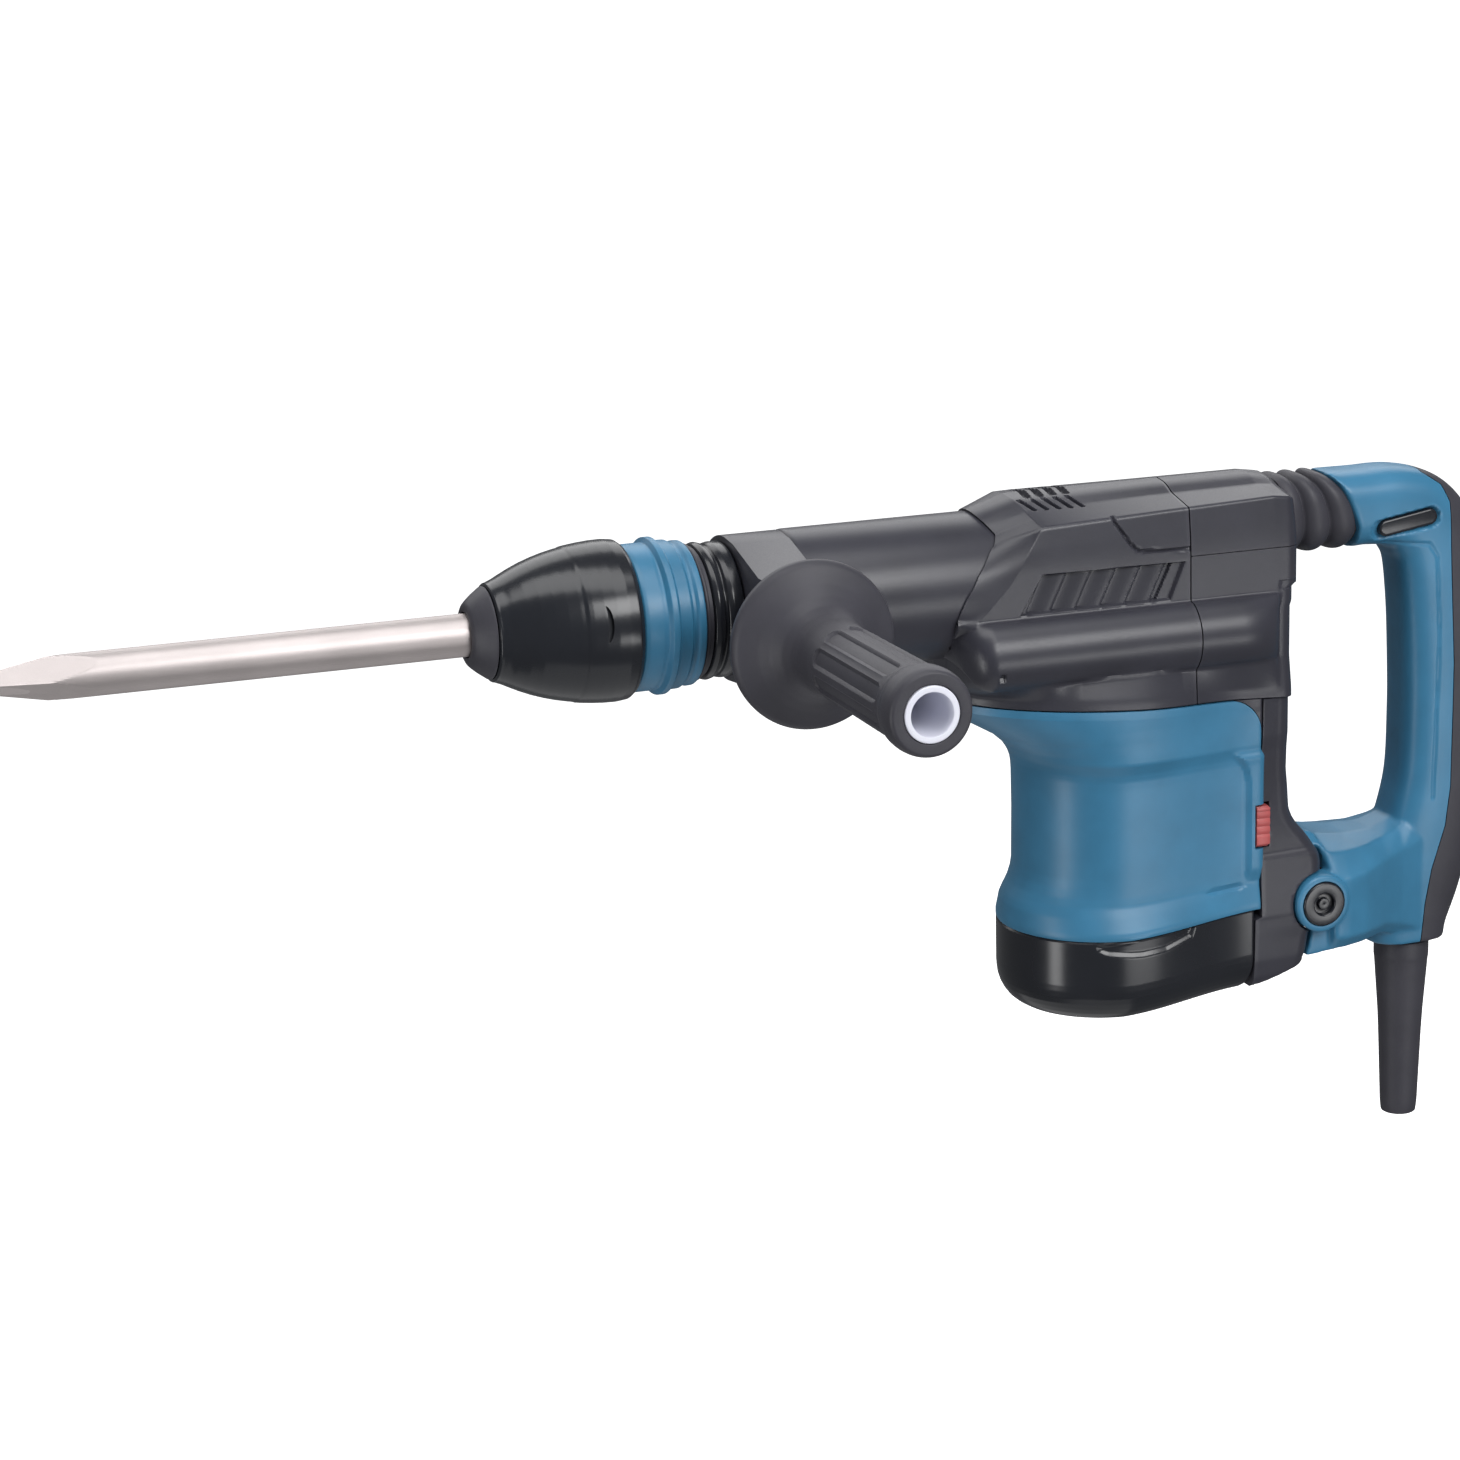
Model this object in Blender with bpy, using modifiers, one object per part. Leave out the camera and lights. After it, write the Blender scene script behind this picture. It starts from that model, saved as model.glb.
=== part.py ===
"""A breaker hammer with an SDS-max chuck, a side handle and a sprung rear handle.

Metres, +Z up. The origin is the centre of the motor housing's flat underside, under the motor shaft.
The chisel points to -X, the rear handle is at +X, and the side handle sticks out to -Y.
"""

import math

import bmesh
import bpy
from mathutils import Matrix, Vector

for old in list(bpy.data.objects):
    bpy.data.objects.remove(old, do_unlink=True)

# ---------------------------------------------------------------- driving dimensions

AXIS_Z = 0.195  # height of the chisel's axis over the base
GAP = 0.0003  # play between pieces that touch
WALL = 0.0028  # thickness of the moulded shells

NOSE_X = -0.285  # front of the chuck
COVER_X = (-0.2757, -0.2177)  # release cover
RING_X = (-0.2174, -0.1903)  # change ring
CLAMP_X = (-0.1720, -0.1465)  # side handle base
BARREL_X = (-0.1898, -0.0533)
NECK_R = 0.0255  # barrel under the side handle
BARREL_R = 0.0310
CYLINDER_R = 0.0190  # bore
SHANK_R = 0.0090  # SDS-max shank, 18 mm across
CHISEL_LENGTH = 0.3215

HOUSING_FRONT_X = -0.0530
HOUSING_PART_X = 0.0276  # joint between the front and the rear half of the gear housing
HOUSING_REAR_X = 0.0800
LOBE_FRONT_X = -0.0770  # front of the two lobes that hold the absorber weights
CROWN_R = 0.0380

BASE_TOP_Z = 0.0400
BASE_SPLIT_X = 0.0577  # back of the base
MOTOR_SPLIT_X = 0.0610  # back of the blue housing

CRANK_X = 0.0380
CRANK_THROW = 0.0160
PISTON_PIN_X = -0.0475
PINION_TEETH = 8
CRANK_TEETH = 43
GEAR_MODULE = CRANK_X * 2 / (PINION_TEETH + CRANK_TEETH)

PIVOT = (0.0910, 0.0430)  # x and z of the rear handle's pivot
PIVOT_BOSS_R = 0.0150
FORK_INNER = 0.0245  # the fork's arms start this far from the middle
FORK_OUTER = 0.0380
GUARD_X = 0.1510  # middle of the cord guard

GRIP_X = -0.1600  # side handle's own axis
GRIP_END = 0.2020

# ---------------------------------------------------------------- collections and materials

PARTS = bpy.data.collections.new("breaker_hammer")
CUTTERS = bpy.data.collections.new("cutters")
for collection in (PARTS, CUTTERS):
    bpy.context.scene.collection.children.link(collection)


def material(name, colour, roughness, metallic=0.0):
    made = bpy.data.materials.new(name)
    made.use_nodes = True
    shader = made.node_tree.nodes["Principled BSDF"]
    shader.inputs["Base Color"].default_value = (*colour, 1.0)
    shader.inputs["Roughness"].default_value = roughness
    shader.inputs["Metallic"].default_value = metallic
    return made


BLUE = material("blue_plastic", (0.045, 0.190, 0.340), 0.38)
DARK = material("dark_grey_plastic", (0.050, 0.048, 0.058), 0.36)
BLACK = material("black_plastic", (0.018, 0.019, 0.024), 0.25)
RUBBER = material("grip_rubber", (0.085, 0.082, 0.095), 0.62)
WHITE = material("white_plastic", (0.800, 0.810, 0.880), 0.35)
RED = material("red_plastic", (0.550, 0.110, 0.090), 0.40)
BLASTED = material("blasted_steel", (0.660, 0.610, 0.620), 0.42, 1.0)
STEEL = material("machined_steel", (0.560, 0.565, 0.580), 0.28, 1.0)
SPRING = material("spring_steel", (0.300, 0.305, 0.320), 0.35, 1.0)
ALLOY = material("cast_alloy", (0.420, 0.425, 0.435), 0.50, 1.0)
COPPER = material("copper_winding", (0.600, 0.240, 0.100), 0.35, 1.0)
CARBON = material("carbon", (0.030, 0.030, 0.032), 0.70)

# ---------------------------------------------------------------- helpers

TO_AXIS = {
    "+X": Matrix.Rotation(math.radians(90), 4, "Y"),
    "-Y": Matrix.Rotation(math.radians(90), 4, "X"),
    "+Z": Matrix.Identity(4),
}


def add(name, mesh, look, collection=PARTS):
    """An object of the mesh; a cutter is one that has no look."""
    made = bpy.data.objects.new(name, mesh)
    collection.objects.link(made)
    if look:
        mesh.materials.append(look)
    else:
        made.hide_render = True
        made.display_type = "WIRE"
    return made


def turned(name, look, axis, origin, outer, inner=None, steps=20):
    """A body of revolution: outer and inner are (distance along the axis, radius), in rising order."""
    points = [(radius, along) for along, radius in reversed(outer)]
    if inner:
        points += [(radius, along) for along, radius in inner]
        edges = [(i, (i + 1) % len(points)) for i in range(len(points))]
    else:
        points = [(0.0, outer[-1][0])] + points + [(0.0, outer[0][0])]
        edges = [(i, i + 1) for i in range(len(points) - 1)]
    mesh = bpy.data.meshes.new(name)
    mesh.from_pydata([(radius, 0.0, along) for radius, along in points], edges, [])
    made = add(name, mesh, look, PARTS if look else CUTTERS)
    made.matrix_world = Matrix.Translation(origin) @ TO_AXIS[axis]
    screw = made.modifiers.new("Turn", "SCREW")
    screw.steps = screw.render_steps = steps
    screw.use_merge_vertices = True
    screw.merge_threshold = 0.00001
    screw.use_smooth_shade = True
    return made


def tube(name, look, axis, origin, start, end, outer, inner, steps=20):
    return turned(name, look, axis, origin, [(start, outer), (end, outer)],
                  [(start, inner), (end, inner)] if inner else None, steps)


def cylinder_cutter(name, axis, origin, start, end, radius, steps=32):
    return turned(name, None, axis, origin, [(start, radius), (end, radius)], None, steps)


def box(name, look, low, high, bevel=0.0):
    low, high = Vector(low), Vector(high)
    shape = bmesh.new()
    bmesh.ops.create_cube(shape, size=1.0)
    bmesh.ops.scale(shape, vec=high - low, verts=shape.verts)
    mesh = bpy.data.meshes.new(name)
    shape.to_mesh(mesh)
    shape.free()
    made = add(name, mesh, look, PARTS if look else CUTTERS)
    made.location = (low + high) / 2
    if bevel:
        rounded = made.modifiers.new("Edges", "BEVEL")
        rounded.width = bevel
        rounded.segments = 2
    return made


def loft(name, look, rings, start_cap=True, end_cap=True):
    """A skin over rings of points that all have the same number of points."""
    shape = bmesh.new()
    rows = [[shape.verts.new(point) for point in ring] for ring in rings]
    count = len(rows[0])
    for row, after in zip(rows, rows[1:]):
        for i in range(count):
            shape.faces.new((row[i], row[(i + 1) % count], after[(i + 1) % count], after[i]))
    if start_cap:
        shape.faces.new(list(reversed(rows[0])))
    if end_cap:
        shape.faces.new(rows[-1])
    shape.normal_update()
    middle = sum((vert.co for vert in shape.verts), Vector()) / len(shape.verts)
    outward = sum(face.normal.dot(face.calc_center_median() - middle) * face.calc_area() for face in shape.faces)
    if outward < 0:
        bmesh.ops.reverse_faces(shape, faces=shape.faces)
    mesh = bpy.data.meshes.new(name)
    shape.to_mesh(mesh)
    shape.free()
    return add(name, mesh, look, PARTS if look else CUTTERS)


def thicken(made, wall=WALL):
    """Solidify towards the inside."""
    solid = made.modifiers.new("Wall", "SOLIDIFY")
    solid.thickness = wall
    solid.offset = -1.0
    solid.use_even_offset = True
    return made


def cut(made, *others, operation="DIFFERENCE"):
    for other in others:
        step = made.modifiers.new(operation.title(), "BOOLEAN")
        step.operation = operation
        step.object = other
    return made


def plate(name, look, outline, holes, axis, origin, start, end):
    """A flat outline of (x, y) with holes, extruded along its local Z from start to end."""
    curve = bpy.data.curves.new(name, "CURVE")
    curve.dimensions = "2D"
    curve.fill_mode = "BOTH"
    curve.extrude = (end - start) / 2
    for points in [outline, *holes]:
        spline = curve.splines.new("POLY")
        spline.points.add(len(points) - 1)
        for point, (x, y) in zip(spline.points, points):
            point.co = (x, y, 0.0, 1.0)
        spline.use_cyclic_u = True
    made = add(name, curve, look, PARTS if look else CUTTERS)
    shift = Matrix.Translation((0.0, 0.0, (start + end) / 2))
    made.matrix_world = Matrix.Translation(origin) @ TO_AXIS[axis] @ shift
    return made


def as_mesh(made):
    """The same object with its curve turned into a welded mesh, so that it can be cut."""
    evaluated = made.evaluated_get(bpy.context.evaluated_depsgraph_get())
    mesh = bpy.data.meshes.new_from_object(evaluated)
    shape = bmesh.new()
    shape.from_mesh(mesh)
    bmesh.ops.remove_doubles(shape, verts=shape.verts, dist=0.00001)
    bmesh.ops.recalc_face_normals(shape, faces=shape.faces)
    shape.to_mesh(mesh)
    shape.free()
    name, matrix, collection = made.name, made.matrix_world.copy(), made.users_collection[0]
    bpy.data.objects.remove(made, do_unlink=True)
    new = add(name, mesh, None if collection is CUTTERS else mesh.materials[0], collection)
    if collection is PARTS:
        mesh.materials.pop()
    new.matrix_world = matrix
    return new


def circle(radius, count, centre=(0.0, 0.0)):
    turns = [2 * math.pi * i / count for i in range(count)]
    return [(centre[0] + radius * math.cos(t), centre[1] + radius * math.sin(t)) for t in turns]


def coil_spring(name, axis, origin, start, end, radius, wire, turns, per_turn=7):
    """A compression spring as a wire along a helix, inside start and end."""
    curve = bpy.data.curves.new(name, "CURVE")
    curve.dimensions = "3D"
    curve.bevel_depth = wire
    curve.bevel_resolution = 0
    curve.use_fill_caps = True
    count = turns * per_turn + 1
    spline = curve.splines.new("POLY")
    spline.points.add(count - 1)
    low, high = start + wire, end - wire
    for i, point in enumerate(spline.points):
        angle = 2 * math.pi * i / per_turn
        along = low + (high - low) * i / (count - 1)
        point.co = (radius * math.cos(angle), radius * math.sin(angle), along, 1.0)
    made = add(name, curve, SPRING)
    made.matrix_world = Matrix.Translation(origin) @ TO_AXIS[axis]
    return made


# ---------------------------------------------------------------- chuck and chisel

TOOL = (0.0, 0.0, AXIS_Z)


def chisel():
    """Bull point: an 18 mm bar, a four-sided point, and two closed grooves in the shank."""
    rear = -0.1765
    tip = rear - CHISEL_LENGTH
    point_start, flat_start = tip + 0.0440, tip + 0.0500
    sides = 24
    rings = []
    for x, radius, square in (
        (tip, 0.0007, 1.0), (tip + 0.0400, 0.0088, 1.0), (point_start + 0.0020, 0.0097, 0.55),
        (flat_start + 0.0060, SHANK_R, 0.0), (rear - 0.0030, SHANK_R, 0.0), (rear, 0.0070, 0.0),
    ):
        ring = []
        for i in range(sides):
            angle = 2 * math.pi * (i + 0.5) / sides
            flat = max(abs(math.cos(angle)), abs(math.sin(angle)))
            diamond = abs(math.cos(angle)) + abs(math.sin(angle))
            reach = radius * ((1 - square) + square * 0.96 / diamond) if flat else radius
            ring.append((x, reach * math.cos(angle), AXIS_Z + reach * math.sin(angle)))
        rings.append(ring)
    made = loft("chisel", BLASTED, rings)
    for side in (-1, 1):
        near, far = sorted((side * 0.0066, side * 0.0200))
        groove = box(f"cut_shank_groove_{side}", None,
                     (-0.2412, near, AXIS_Z - 0.0034), (-0.2125, far, AXIS_Z + 0.0034))
        cut(made, groove)
    return made


def nose_cap():
    return turned("nose_cap", RUBBER, "+X", TOOL,
                  [(NOSE_X, 0.0118), (NOSE_X + 0.0008, 0.0132), (NOSE_X + 0.0045, 0.0165),
                   (-0.2762, 0.0194), (-0.2760, 0.0188)],
                  [(NOSE_X, 0.0096), (-0.2760, 0.0096)])


def release_cover():
    """A bullet-shaped cover that slides back to let the bit go."""
    front, rear = COVER_X
    return turned("release_cover", BLACK, "+X", TOOL,
                  [(front, 0.0196), (-0.2690, 0.0220), (-0.2600, 0.0249), (-0.2500, 0.0278),
                   (-0.2400, 0.0304), (-0.2310, 0.0327), (-0.2265, 0.0340), (rear, 0.0333)],
                  [(front, 0.0156), (-0.2620, 0.0208), (-0.2420, 0.0262), (-0.2340, 0.0312),
                   (rear, 0.0312)], 28)


def change_ring():
    """A ring with a raised rib that is pushed forward to turn the bit."""
    front, rear = RING_X
    return turned("change_ring", BLUE, "+X", TOOL,
                  [(front, 0.0298), (front + 0.0008, 0.0306), (-0.2070, 0.0306), (-0.2055, 0.0331),
                   (-0.2030, 0.0331), (-0.2018, 0.0312), (-0.1966, 0.0311), (-0.1956, 0.0297),
                   (-0.1940, 0.0297), (-0.1930, 0.0303), (rear, 0.0300)],
                  [(front, 0.0268), (rear, 0.0268)], 28)


def tool_holder():
    """The steel tube that takes the shank, with windows for the two lock rollers."""
    made = turned("tool_holder", STEEL, "+X", TOOL,
                  [(-0.2757, 0.0148), (-0.2480, 0.0150), (-0.2478, 0.0170), (-0.1950, 0.0170),
                   (-0.1948, 0.0198), (-0.1345, 0.0198)],
                  [(-0.2757, 0.0094), (-0.1740, 0.0094), (-0.1738, 0.0158), (-0.1345, 0.0158)])
    for side in (-1, 1):
        near, far = sorted((side * 0.0050, side * 0.0250))
        window = box(f"cut_roller_window_{side}", None,
                     (-0.2406, near, AXIS_Z - 0.0034), (-0.2234, far, AXIS_Z + 0.0034))
        cut(made, window)
    return made


def lock_roller(name, side):
    return turned(name, STEEL, "+X", (0.0, side * 0.0101, AXIS_Z),
                  [(-0.2400, 0.0022), (-0.2392, 0.0030), (-0.2248, 0.0030), (-0.2240, 0.0022)], None, 12)


def chuck():
    chisel()
    nose_cap()
    release_cover()
    change_ring()
    tool_holder()
    lock_roller("lock_roller_left", -1)
    lock_roller("lock_roller_right", 1)
    coil_spring("cover_spring", "+X", TOOL, -0.2455, -0.2200, 0.0212, 0.0010, 5)


# ---------------------------------------------------------------- barrel and striking parts

def barrel():
    """The cast front tube: a turned neck for the side handle, then the full barrel."""
    front, rear = BARREL_X
    return turned("barrel", DARK, "+X", TOOL,
                  [(front, 0.0250), (front + 0.0006, NECK_R), (-0.1464, NECK_R), (-0.1462, 0.0300),
                   (-0.1445, BARREL_R), (rear, BARREL_R), (-0.0531, 0.0290), (-0.0400, 0.0288)],
                  [(front, 0.0225), (-0.1300, 0.0225), (-0.1298, 0.0262), (-0.0400, 0.0262)], 28)


def striking_parts():
    tube("dust_seal", RUBBER, "+X", TOOL, -0.1900, -0.1862, 0.0290, 0.0258, 24)
    tube("front_collar", BLACK, "+X", TOOL, -0.1859, -0.1723, 0.0280, 0.0258, 24)
    tube("holder_bearing", STEEL, "+X", TOOL, -0.1850, -0.1550, 0.0222, 0.0201)
    turned("impact_bolt", STEEL, "+X", TOOL,
           [(-0.1760, 0.0080), (-0.1750, 0.0088), (-0.1602, 0.0088), (-0.1600, 0.0152),
            (-0.1480, 0.0152), (-0.1478, 0.0105), (-0.1250, 0.0105), (-0.1240, 0.0095)])
    tube("bolt_guide_ring", STEEL, "+X", TOOL, -0.1340, -0.1303, 0.0222, 0.0108)
    tube("cylinder", STEEL, "+X", TOOL, -0.1290, -0.0060, 0.0240, CYLINDER_R, 28)
    tube("striker", STEEL, "+X", TOOL, -0.1080, -0.0780, CYLINDER_R - GAP, None)
    piston = turned("piston", ALLOY, "+X", TOOL,
                    [(-0.0640, 0.0187), (-0.0400, 0.0187)],
                    None)
    cut(piston, cylinder_cutter("cut_piston_hollow", "+X", TOOL, -0.0560, -0.0300, 0.0135, 20))
    cut(piston, cylinder_cutter("cut_piston_pin", "+Z", (PISTON_PIN_X, 0.0, AXIS_Z), -0.0300, 0.0300,
                                0.0040 + GAP, 12))
    tube("piston_pin", STEEL, "+Z", (PISTON_PIN_X, 0.0, AXIS_Z), -0.0170, 0.0170, 0.0040, None, 12)


def connecting_rod():
    """A flat rod between the piston pin and the crank pin."""
    big = (CRANK_X - CRANK_THROW, 0.0110, 0.0058)
    small = (PISTON_PIN_X, 0.0075, 0.0040 + GAP)
    arcs = []
    for centre, radius, turn in ((big[0], big[1], -1), (small[0], small[1], 1)):
        for i in range(9):
            angle = math.radians(-110 + 220 * i / 8)
            arcs.append((centre - turn * radius * math.cos(angle), -turn * radius * math.sin(angle)))
    half = [arcs[:9], arcs[9:]]
    outline = half[0] + half[1]
    plate("connecting_rod", STEEL, outline,
          [circle(big[2], 14, (big[0], 0.0)), circle(small[2], 12, (small[0], 0.0))],
          "+Z", (0.0, 0.0, AXIS_Z), -0.0056, 0.0056)


def gear_outline(teeth, module, clearance=0.00025):
    """Straight-flanked teeth, thinned a little so that meshing gears keep clear of each other."""
    pitch_r = teeth * module / 2
    root, top = pitch_r - 1.2 * module, pitch_r + 0.9 * module
    quarter = math.pi / (2 * teeth)
    points = []
    for i in range(teeth):
        middle = 2 * math.pi * i / teeth
        thin = clearance / pitch_r
        for radius, away in ((root, -1.45), (top, -0.50), (top, 0.50), (root, 1.45)):
            angle = middle + away * quarter - math.copysign(thin, away)
            points.append((radius * math.cos(angle), radius * math.sin(angle)))
    return points


def crank_drive():
    crank = (CRANK_X, 0.0, 0.0)
    plate("crank_gear", STEEL, gear_outline(CRANK_TEETH, GEAR_MODULE), [circle(0.0063, 14)],
          "+Z", crank, 0.1500, 0.1590)
    shaft = turned("crank_shaft", STEEL, "+Z", crank,
                   [(0.1440, 0.0060), (0.1680, 0.0060), (0.1680, 0.0235), (0.1755, 0.0235)])
    pin = cylinder_cutter("join_crank_pin", "+Z", (CRANK_X - CRANK_THROW, 0.0, 0.0), 0.1700, 0.1889, 0.0055, 14)
    cut(shaft, pin, operation="UNION")
    tube("crank_bearing", STEEL, "+Z", crank, 0.1444, 0.1494, 0.0125, 0.0063, 20)
    connecting_rod()


# ---------------------------------------------------------------- motor

def motor():
    base = (0.0, 0.0, 0.0)
    shaft = turned("armature_shaft", STEEL, "+Z", base,
                   [(0.0120, 0.0040), (0.0240, 0.0050), (0.1470, 0.0050)], None, 16)
    teeth = [(-x, y) for x, y in gear_outline(PINION_TEETH, GEAR_MODULE)]
    cut(shaft, as_mesh(plate("join_pinion", None, teeth, [], "+Z", base, 0.1460, 0.1600)), operation="UNION")
    turned("armature_core", COPPER, "+Z", base,
           [(0.0300, 0.0140), (0.0500, 0.0140), (0.0502, 0.0115), (0.0600, 0.0115), (0.0620, 0.0215),
            (0.1150, 0.0215)], [(0.0300, 0.0053), (0.1150, 0.0053)])
    tube("field_stator", ALLOY, "+Z", base, 0.0640, 0.1130, 0.0345, 0.0225, 28)
    tube("cooling_fan", BLACK, "+Z", base, 0.1180, 0.1280, 0.0335, 0.0053, 28)
    tube("motor_bearing_lower", STEEL, "+Z", base, 0.0125, 0.0195, 0.0110, 0.0053, 20)
    tube("motor_bearing_upper", STEEL, "+Z", base, 0.1324, 0.1386, 0.0130, 0.0053, 20)
    plate("gear_plate", ALLOY, circle(0.0385, 28), [circle(0.0133, 20)], "+Z", base, 0.1325, 0.1370)
    for side, where in ((-1, "left"), (1, "right")):
        low, high = sorted((side * 0.0144, side * 0.0290))
        box(f"carbon_brush_{where}", CARBON, (-0.0035, low, 0.0350), (0.0035, high, 0.0450))
        low, high = sorted((side * 0.0170, side * 0.0340))
        holder = box(f"brush_holder_{where}", ALLOY, (-0.0055, low, 0.0330), (0.0055, high, 0.0527))
        low, high = sorted((side * 0.0160, side * 0.0310))
        cut(holder, box(f"cut_brush_{where}", None, (-0.0038, low, 0.0347), (0.0038, high, 0.0453)))


# ---------------------------------------------------------------- motor housing shells

def seam_z(x):
    """The blue housing's top edge falls a little towards the rear."""
    return 0.1465 - 0.0075 * (x - LOBE_FRONT_X) / 0.137


def plan_ring(z, front, half, rear, rear_half, inset=0.0):
    """An outline seen from above: a round front, sides that draw in, and a rounded rear."""
    front, half = front - inset, half - inset
    rear, rear_half = rear - inset, rear_half - inset
    corner = 0.0080
    side = [(front * math.sin(a), half * math.cos(a)) for a in (math.radians(90 * i / 6) for i in range(7))]
    side = [(-x, y) for x, y in reversed(side)]
    for share in (0.35, 0.7):
        ease = share * share * (3 - 2 * share)
        side.append(((rear - corner) * share, half + (rear_half - half) * ease))
    for i in range(4):
        a = math.radians(90 * i / 3)
        side.append((rear - corner + corner * math.sin(a), rear_half - corner + corner * math.cos(a)))
    left = [(x, -y) for x, y in side]
    ring = left[::-1] + side[1:]
    height = z if callable(z) else lambda x: z
    return [(x, y, height(x)) for x, y in ring]


BASE_FRONT = 0.0458
BASE_HALF = 0.0450
LIP = 0.0036  # height of the upright rim under the gear housing
MOTOR_RINGS = (  # height, front radius, half width
    (BASE_TOP_Z + GAP, BASE_FRONT, BASE_HALF), (0.0440, 0.0456, 0.0448), (0.0500, 0.0440, 0.0435),
    (0.0570, 0.0404, 0.0415), (0.0640, 0.0388, 0.0405), (0.0900, 0.0384, 0.0400), (0.1120, 0.0393, 0.0405),
    (0.1200, 0.0420, 0.0418), (0.1270, 0.0496, 0.0432), (0.1330, 0.0600, 0.0440),
)


def motor_housing():
    rings = [plan_ring(z, front, half, MOTOR_SPLIT_X, half * 0.82) for z, front, half in MOTOR_RINGS]
    for drop in (LIP, GAP):
        rings.append(plan_ring(lambda x, drop=drop: seam_z(x) - drop, 0.0750, 0.0445, MOTOR_SPLIT_X, 0.0360))
    return thicken(loft("motor_housing", BLUE, rings, False, False))


def base_cover():
    """A cup under the motor with a flat underside and a large round edge."""
    rings = []
    for z, inset in ((0.0, 0.0230), (0.0015, 0.0160), (0.0050, 0.0092), (0.0100, 0.0043), (0.0160, 0.0011),
                     (0.0220, 0.0), (BASE_TOP_Z, 0.0)):
        rings.append(plan_ring(z, BASE_FRONT, BASE_HALF, BASE_SPLIT_X, BASE_HALF * 0.78, inset))
    return thicken(loft("base_cover", BLACK, rings, True, False))


def rear_cover():
    """The back of the motor housing: a channel that holds the switch, with a lug for the pivot."""
    low_front, front, rear = BASE_SPLIT_X + GAP, MOTOR_SPLIT_X + GAP, HOUSING_REAR_X
    rings = []
    for height, start, half, back in (
        (0.0060, low_front, 0.0310, 0.0740), (0.0120, low_front, 0.0335, 0.0780),
        (BASE_TOP_Z - GAP, low_front, 0.0355, rear), (BASE_TOP_Z, front, 0.0355, rear),
        (0.0900, front, 0.0330, rear), (None, front, 0.0350, rear),
    ):
        corner = 0.0080
        side = [(start, half)]
        for i in range(4):
            a = math.radians(90 * i / 3)
            side.append((back - corner + corner * math.sin(a), half - 0.0020 - corner + corner * math.cos(a)))
        ring = [(x, -y) for x, y in side] + side[::-1]
        rings.append([(x, y, height or seam_z(x) - GAP) for x, y in ring])
    made = loft("rear_cover", DARK, rings)
    hollow = box("cut_rear_cover", None, (low_front - 0.0100, -0.0278, 0.0090), (0.0720, 0.0278, 0.1500))
    cut(made, hollow)
    x, z = PIVOT
    lug = box("join_pivot_lug", None, (0.0660, -FORK_INNER + 0.0008, 0.0260), (x, FORK_INNER - 0.0008, 0.0600))
    nose = cylinder_cutter("join_pivot_nose", "-Y", (x, 0.0, z), -FORK_INNER + 0.0008, FORK_INNER - 0.0008, 0.0140)
    cut(made, lug, nose, operation="UNION")
    for side in (-1, 1):
        near, far = sorted((-side * (FORK_INNER - 0.0006), -side * 0.0500))
        cut(made, cylinder_cutter(f"cut_boss_recess_{side}", "-Y", (x, 0.0, z), near, far, PIVOT_BOSS_R + 0.0012))
    cut(made, cylinder_cutter("cut_pivot_bore", "-Y", (x, 0.0, z), -0.0500, 0.0500, 0.0063, 16))
    slot = box("cut_switch_slot", None, (0.0500, -0.0500, 0.0715), (0.0684, 0.0500, 0.0915))
    return cut(made, slot)


def switch():
    """The switch box and the red lever that is pushed across the housing."""
    box("switch_box", BLACK, (0.0618, -0.0120, 0.0925), (0.0712, 0.0120, 0.1200), 0.0008)
    box("switch_lever", RED, (0.0618, -0.0365, 0.0725), (0.0675, 0.0305, 0.0905), 0.0012)


# ---------------------------------------------------------------- gear housing shells

SKIRT_HALF = 0.0445  # the floor's edge, over the blue housing
LOBE_ANGLES = (72, 45, 18, -10, -36, -54)


def half_section(crown, shoulder, side, lobe, skirt, floor):
    """Half of the gear housing's outline, from the crown down to the floor, as (y, z) over the axis."""
    crown_r, crown_y = crown
    points = []
    for i in range(4):
        y = crown_y * i / 3
        points.append((y, math.sqrt(crown_r * crown_r - y * y)))
    points += [shoulder, side]
    centre_y, centre_z, radius = lobe
    for degrees in LOBE_ANGLES:
        a = math.radians(degrees)
        points.append((centre_y + radius * math.cos(a), centre_z + radius * math.sin(a)))
    return points + [(skirt, floor + 0.0035), (skirt, floor), (centre_y * 0.5, floor), (0.0, floor)]


def full_section(x, crown=(CROWN_R, 0.0235), shoulder=(0.0330, 0.0120), side=(0.0335, -0.0085),
                 lobe=(0.0285, -0.0280, 0.0172), skirt=SKIRT_HALF, lean=0.0):
    """A whole section; with lean, its sides reach further forward than its crown."""
    half = half_section(crown, shoulder, side, lobe, skirt, seam_z(x - lean) - AXIS_Z)
    ring = half + [(-y, z) for y, z in half[-2:0:-1]]
    return [(x - lean * min(1.0, (crown[0] - z) / 0.0240), y, AXIS_Z + z) for y, z in ring]


def lower_section(x, lobe, skirt):
    """The part in front of the housing, whose upper side follows the barrel."""
    around = BARREL_R + 0.0006
    half = []
    for degrees in (-90, -78, -66, -54, -44, -34):
        a = math.radians(degrees)
        half.append((around * math.cos(a), around * math.sin(a)))
    centre_y, centre_z, radius = lobe
    for degrees in LOBE_ANGLES:
        a = math.radians(degrees)
        half.append((centre_y + radius * math.cos(a), centre_z + radius * math.sin(a)))
    floor = seam_z(x) - AXIS_Z
    half += [(skirt, floor + 0.0035), (skirt, floor), (centre_y * 0.5, floor), (0.0, floor)]
    ring = half + [(-y, z) for y, z in half[-2:0:-1]]
    return [(x, y, AXIS_Z + z) for y, z in ring]


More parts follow.
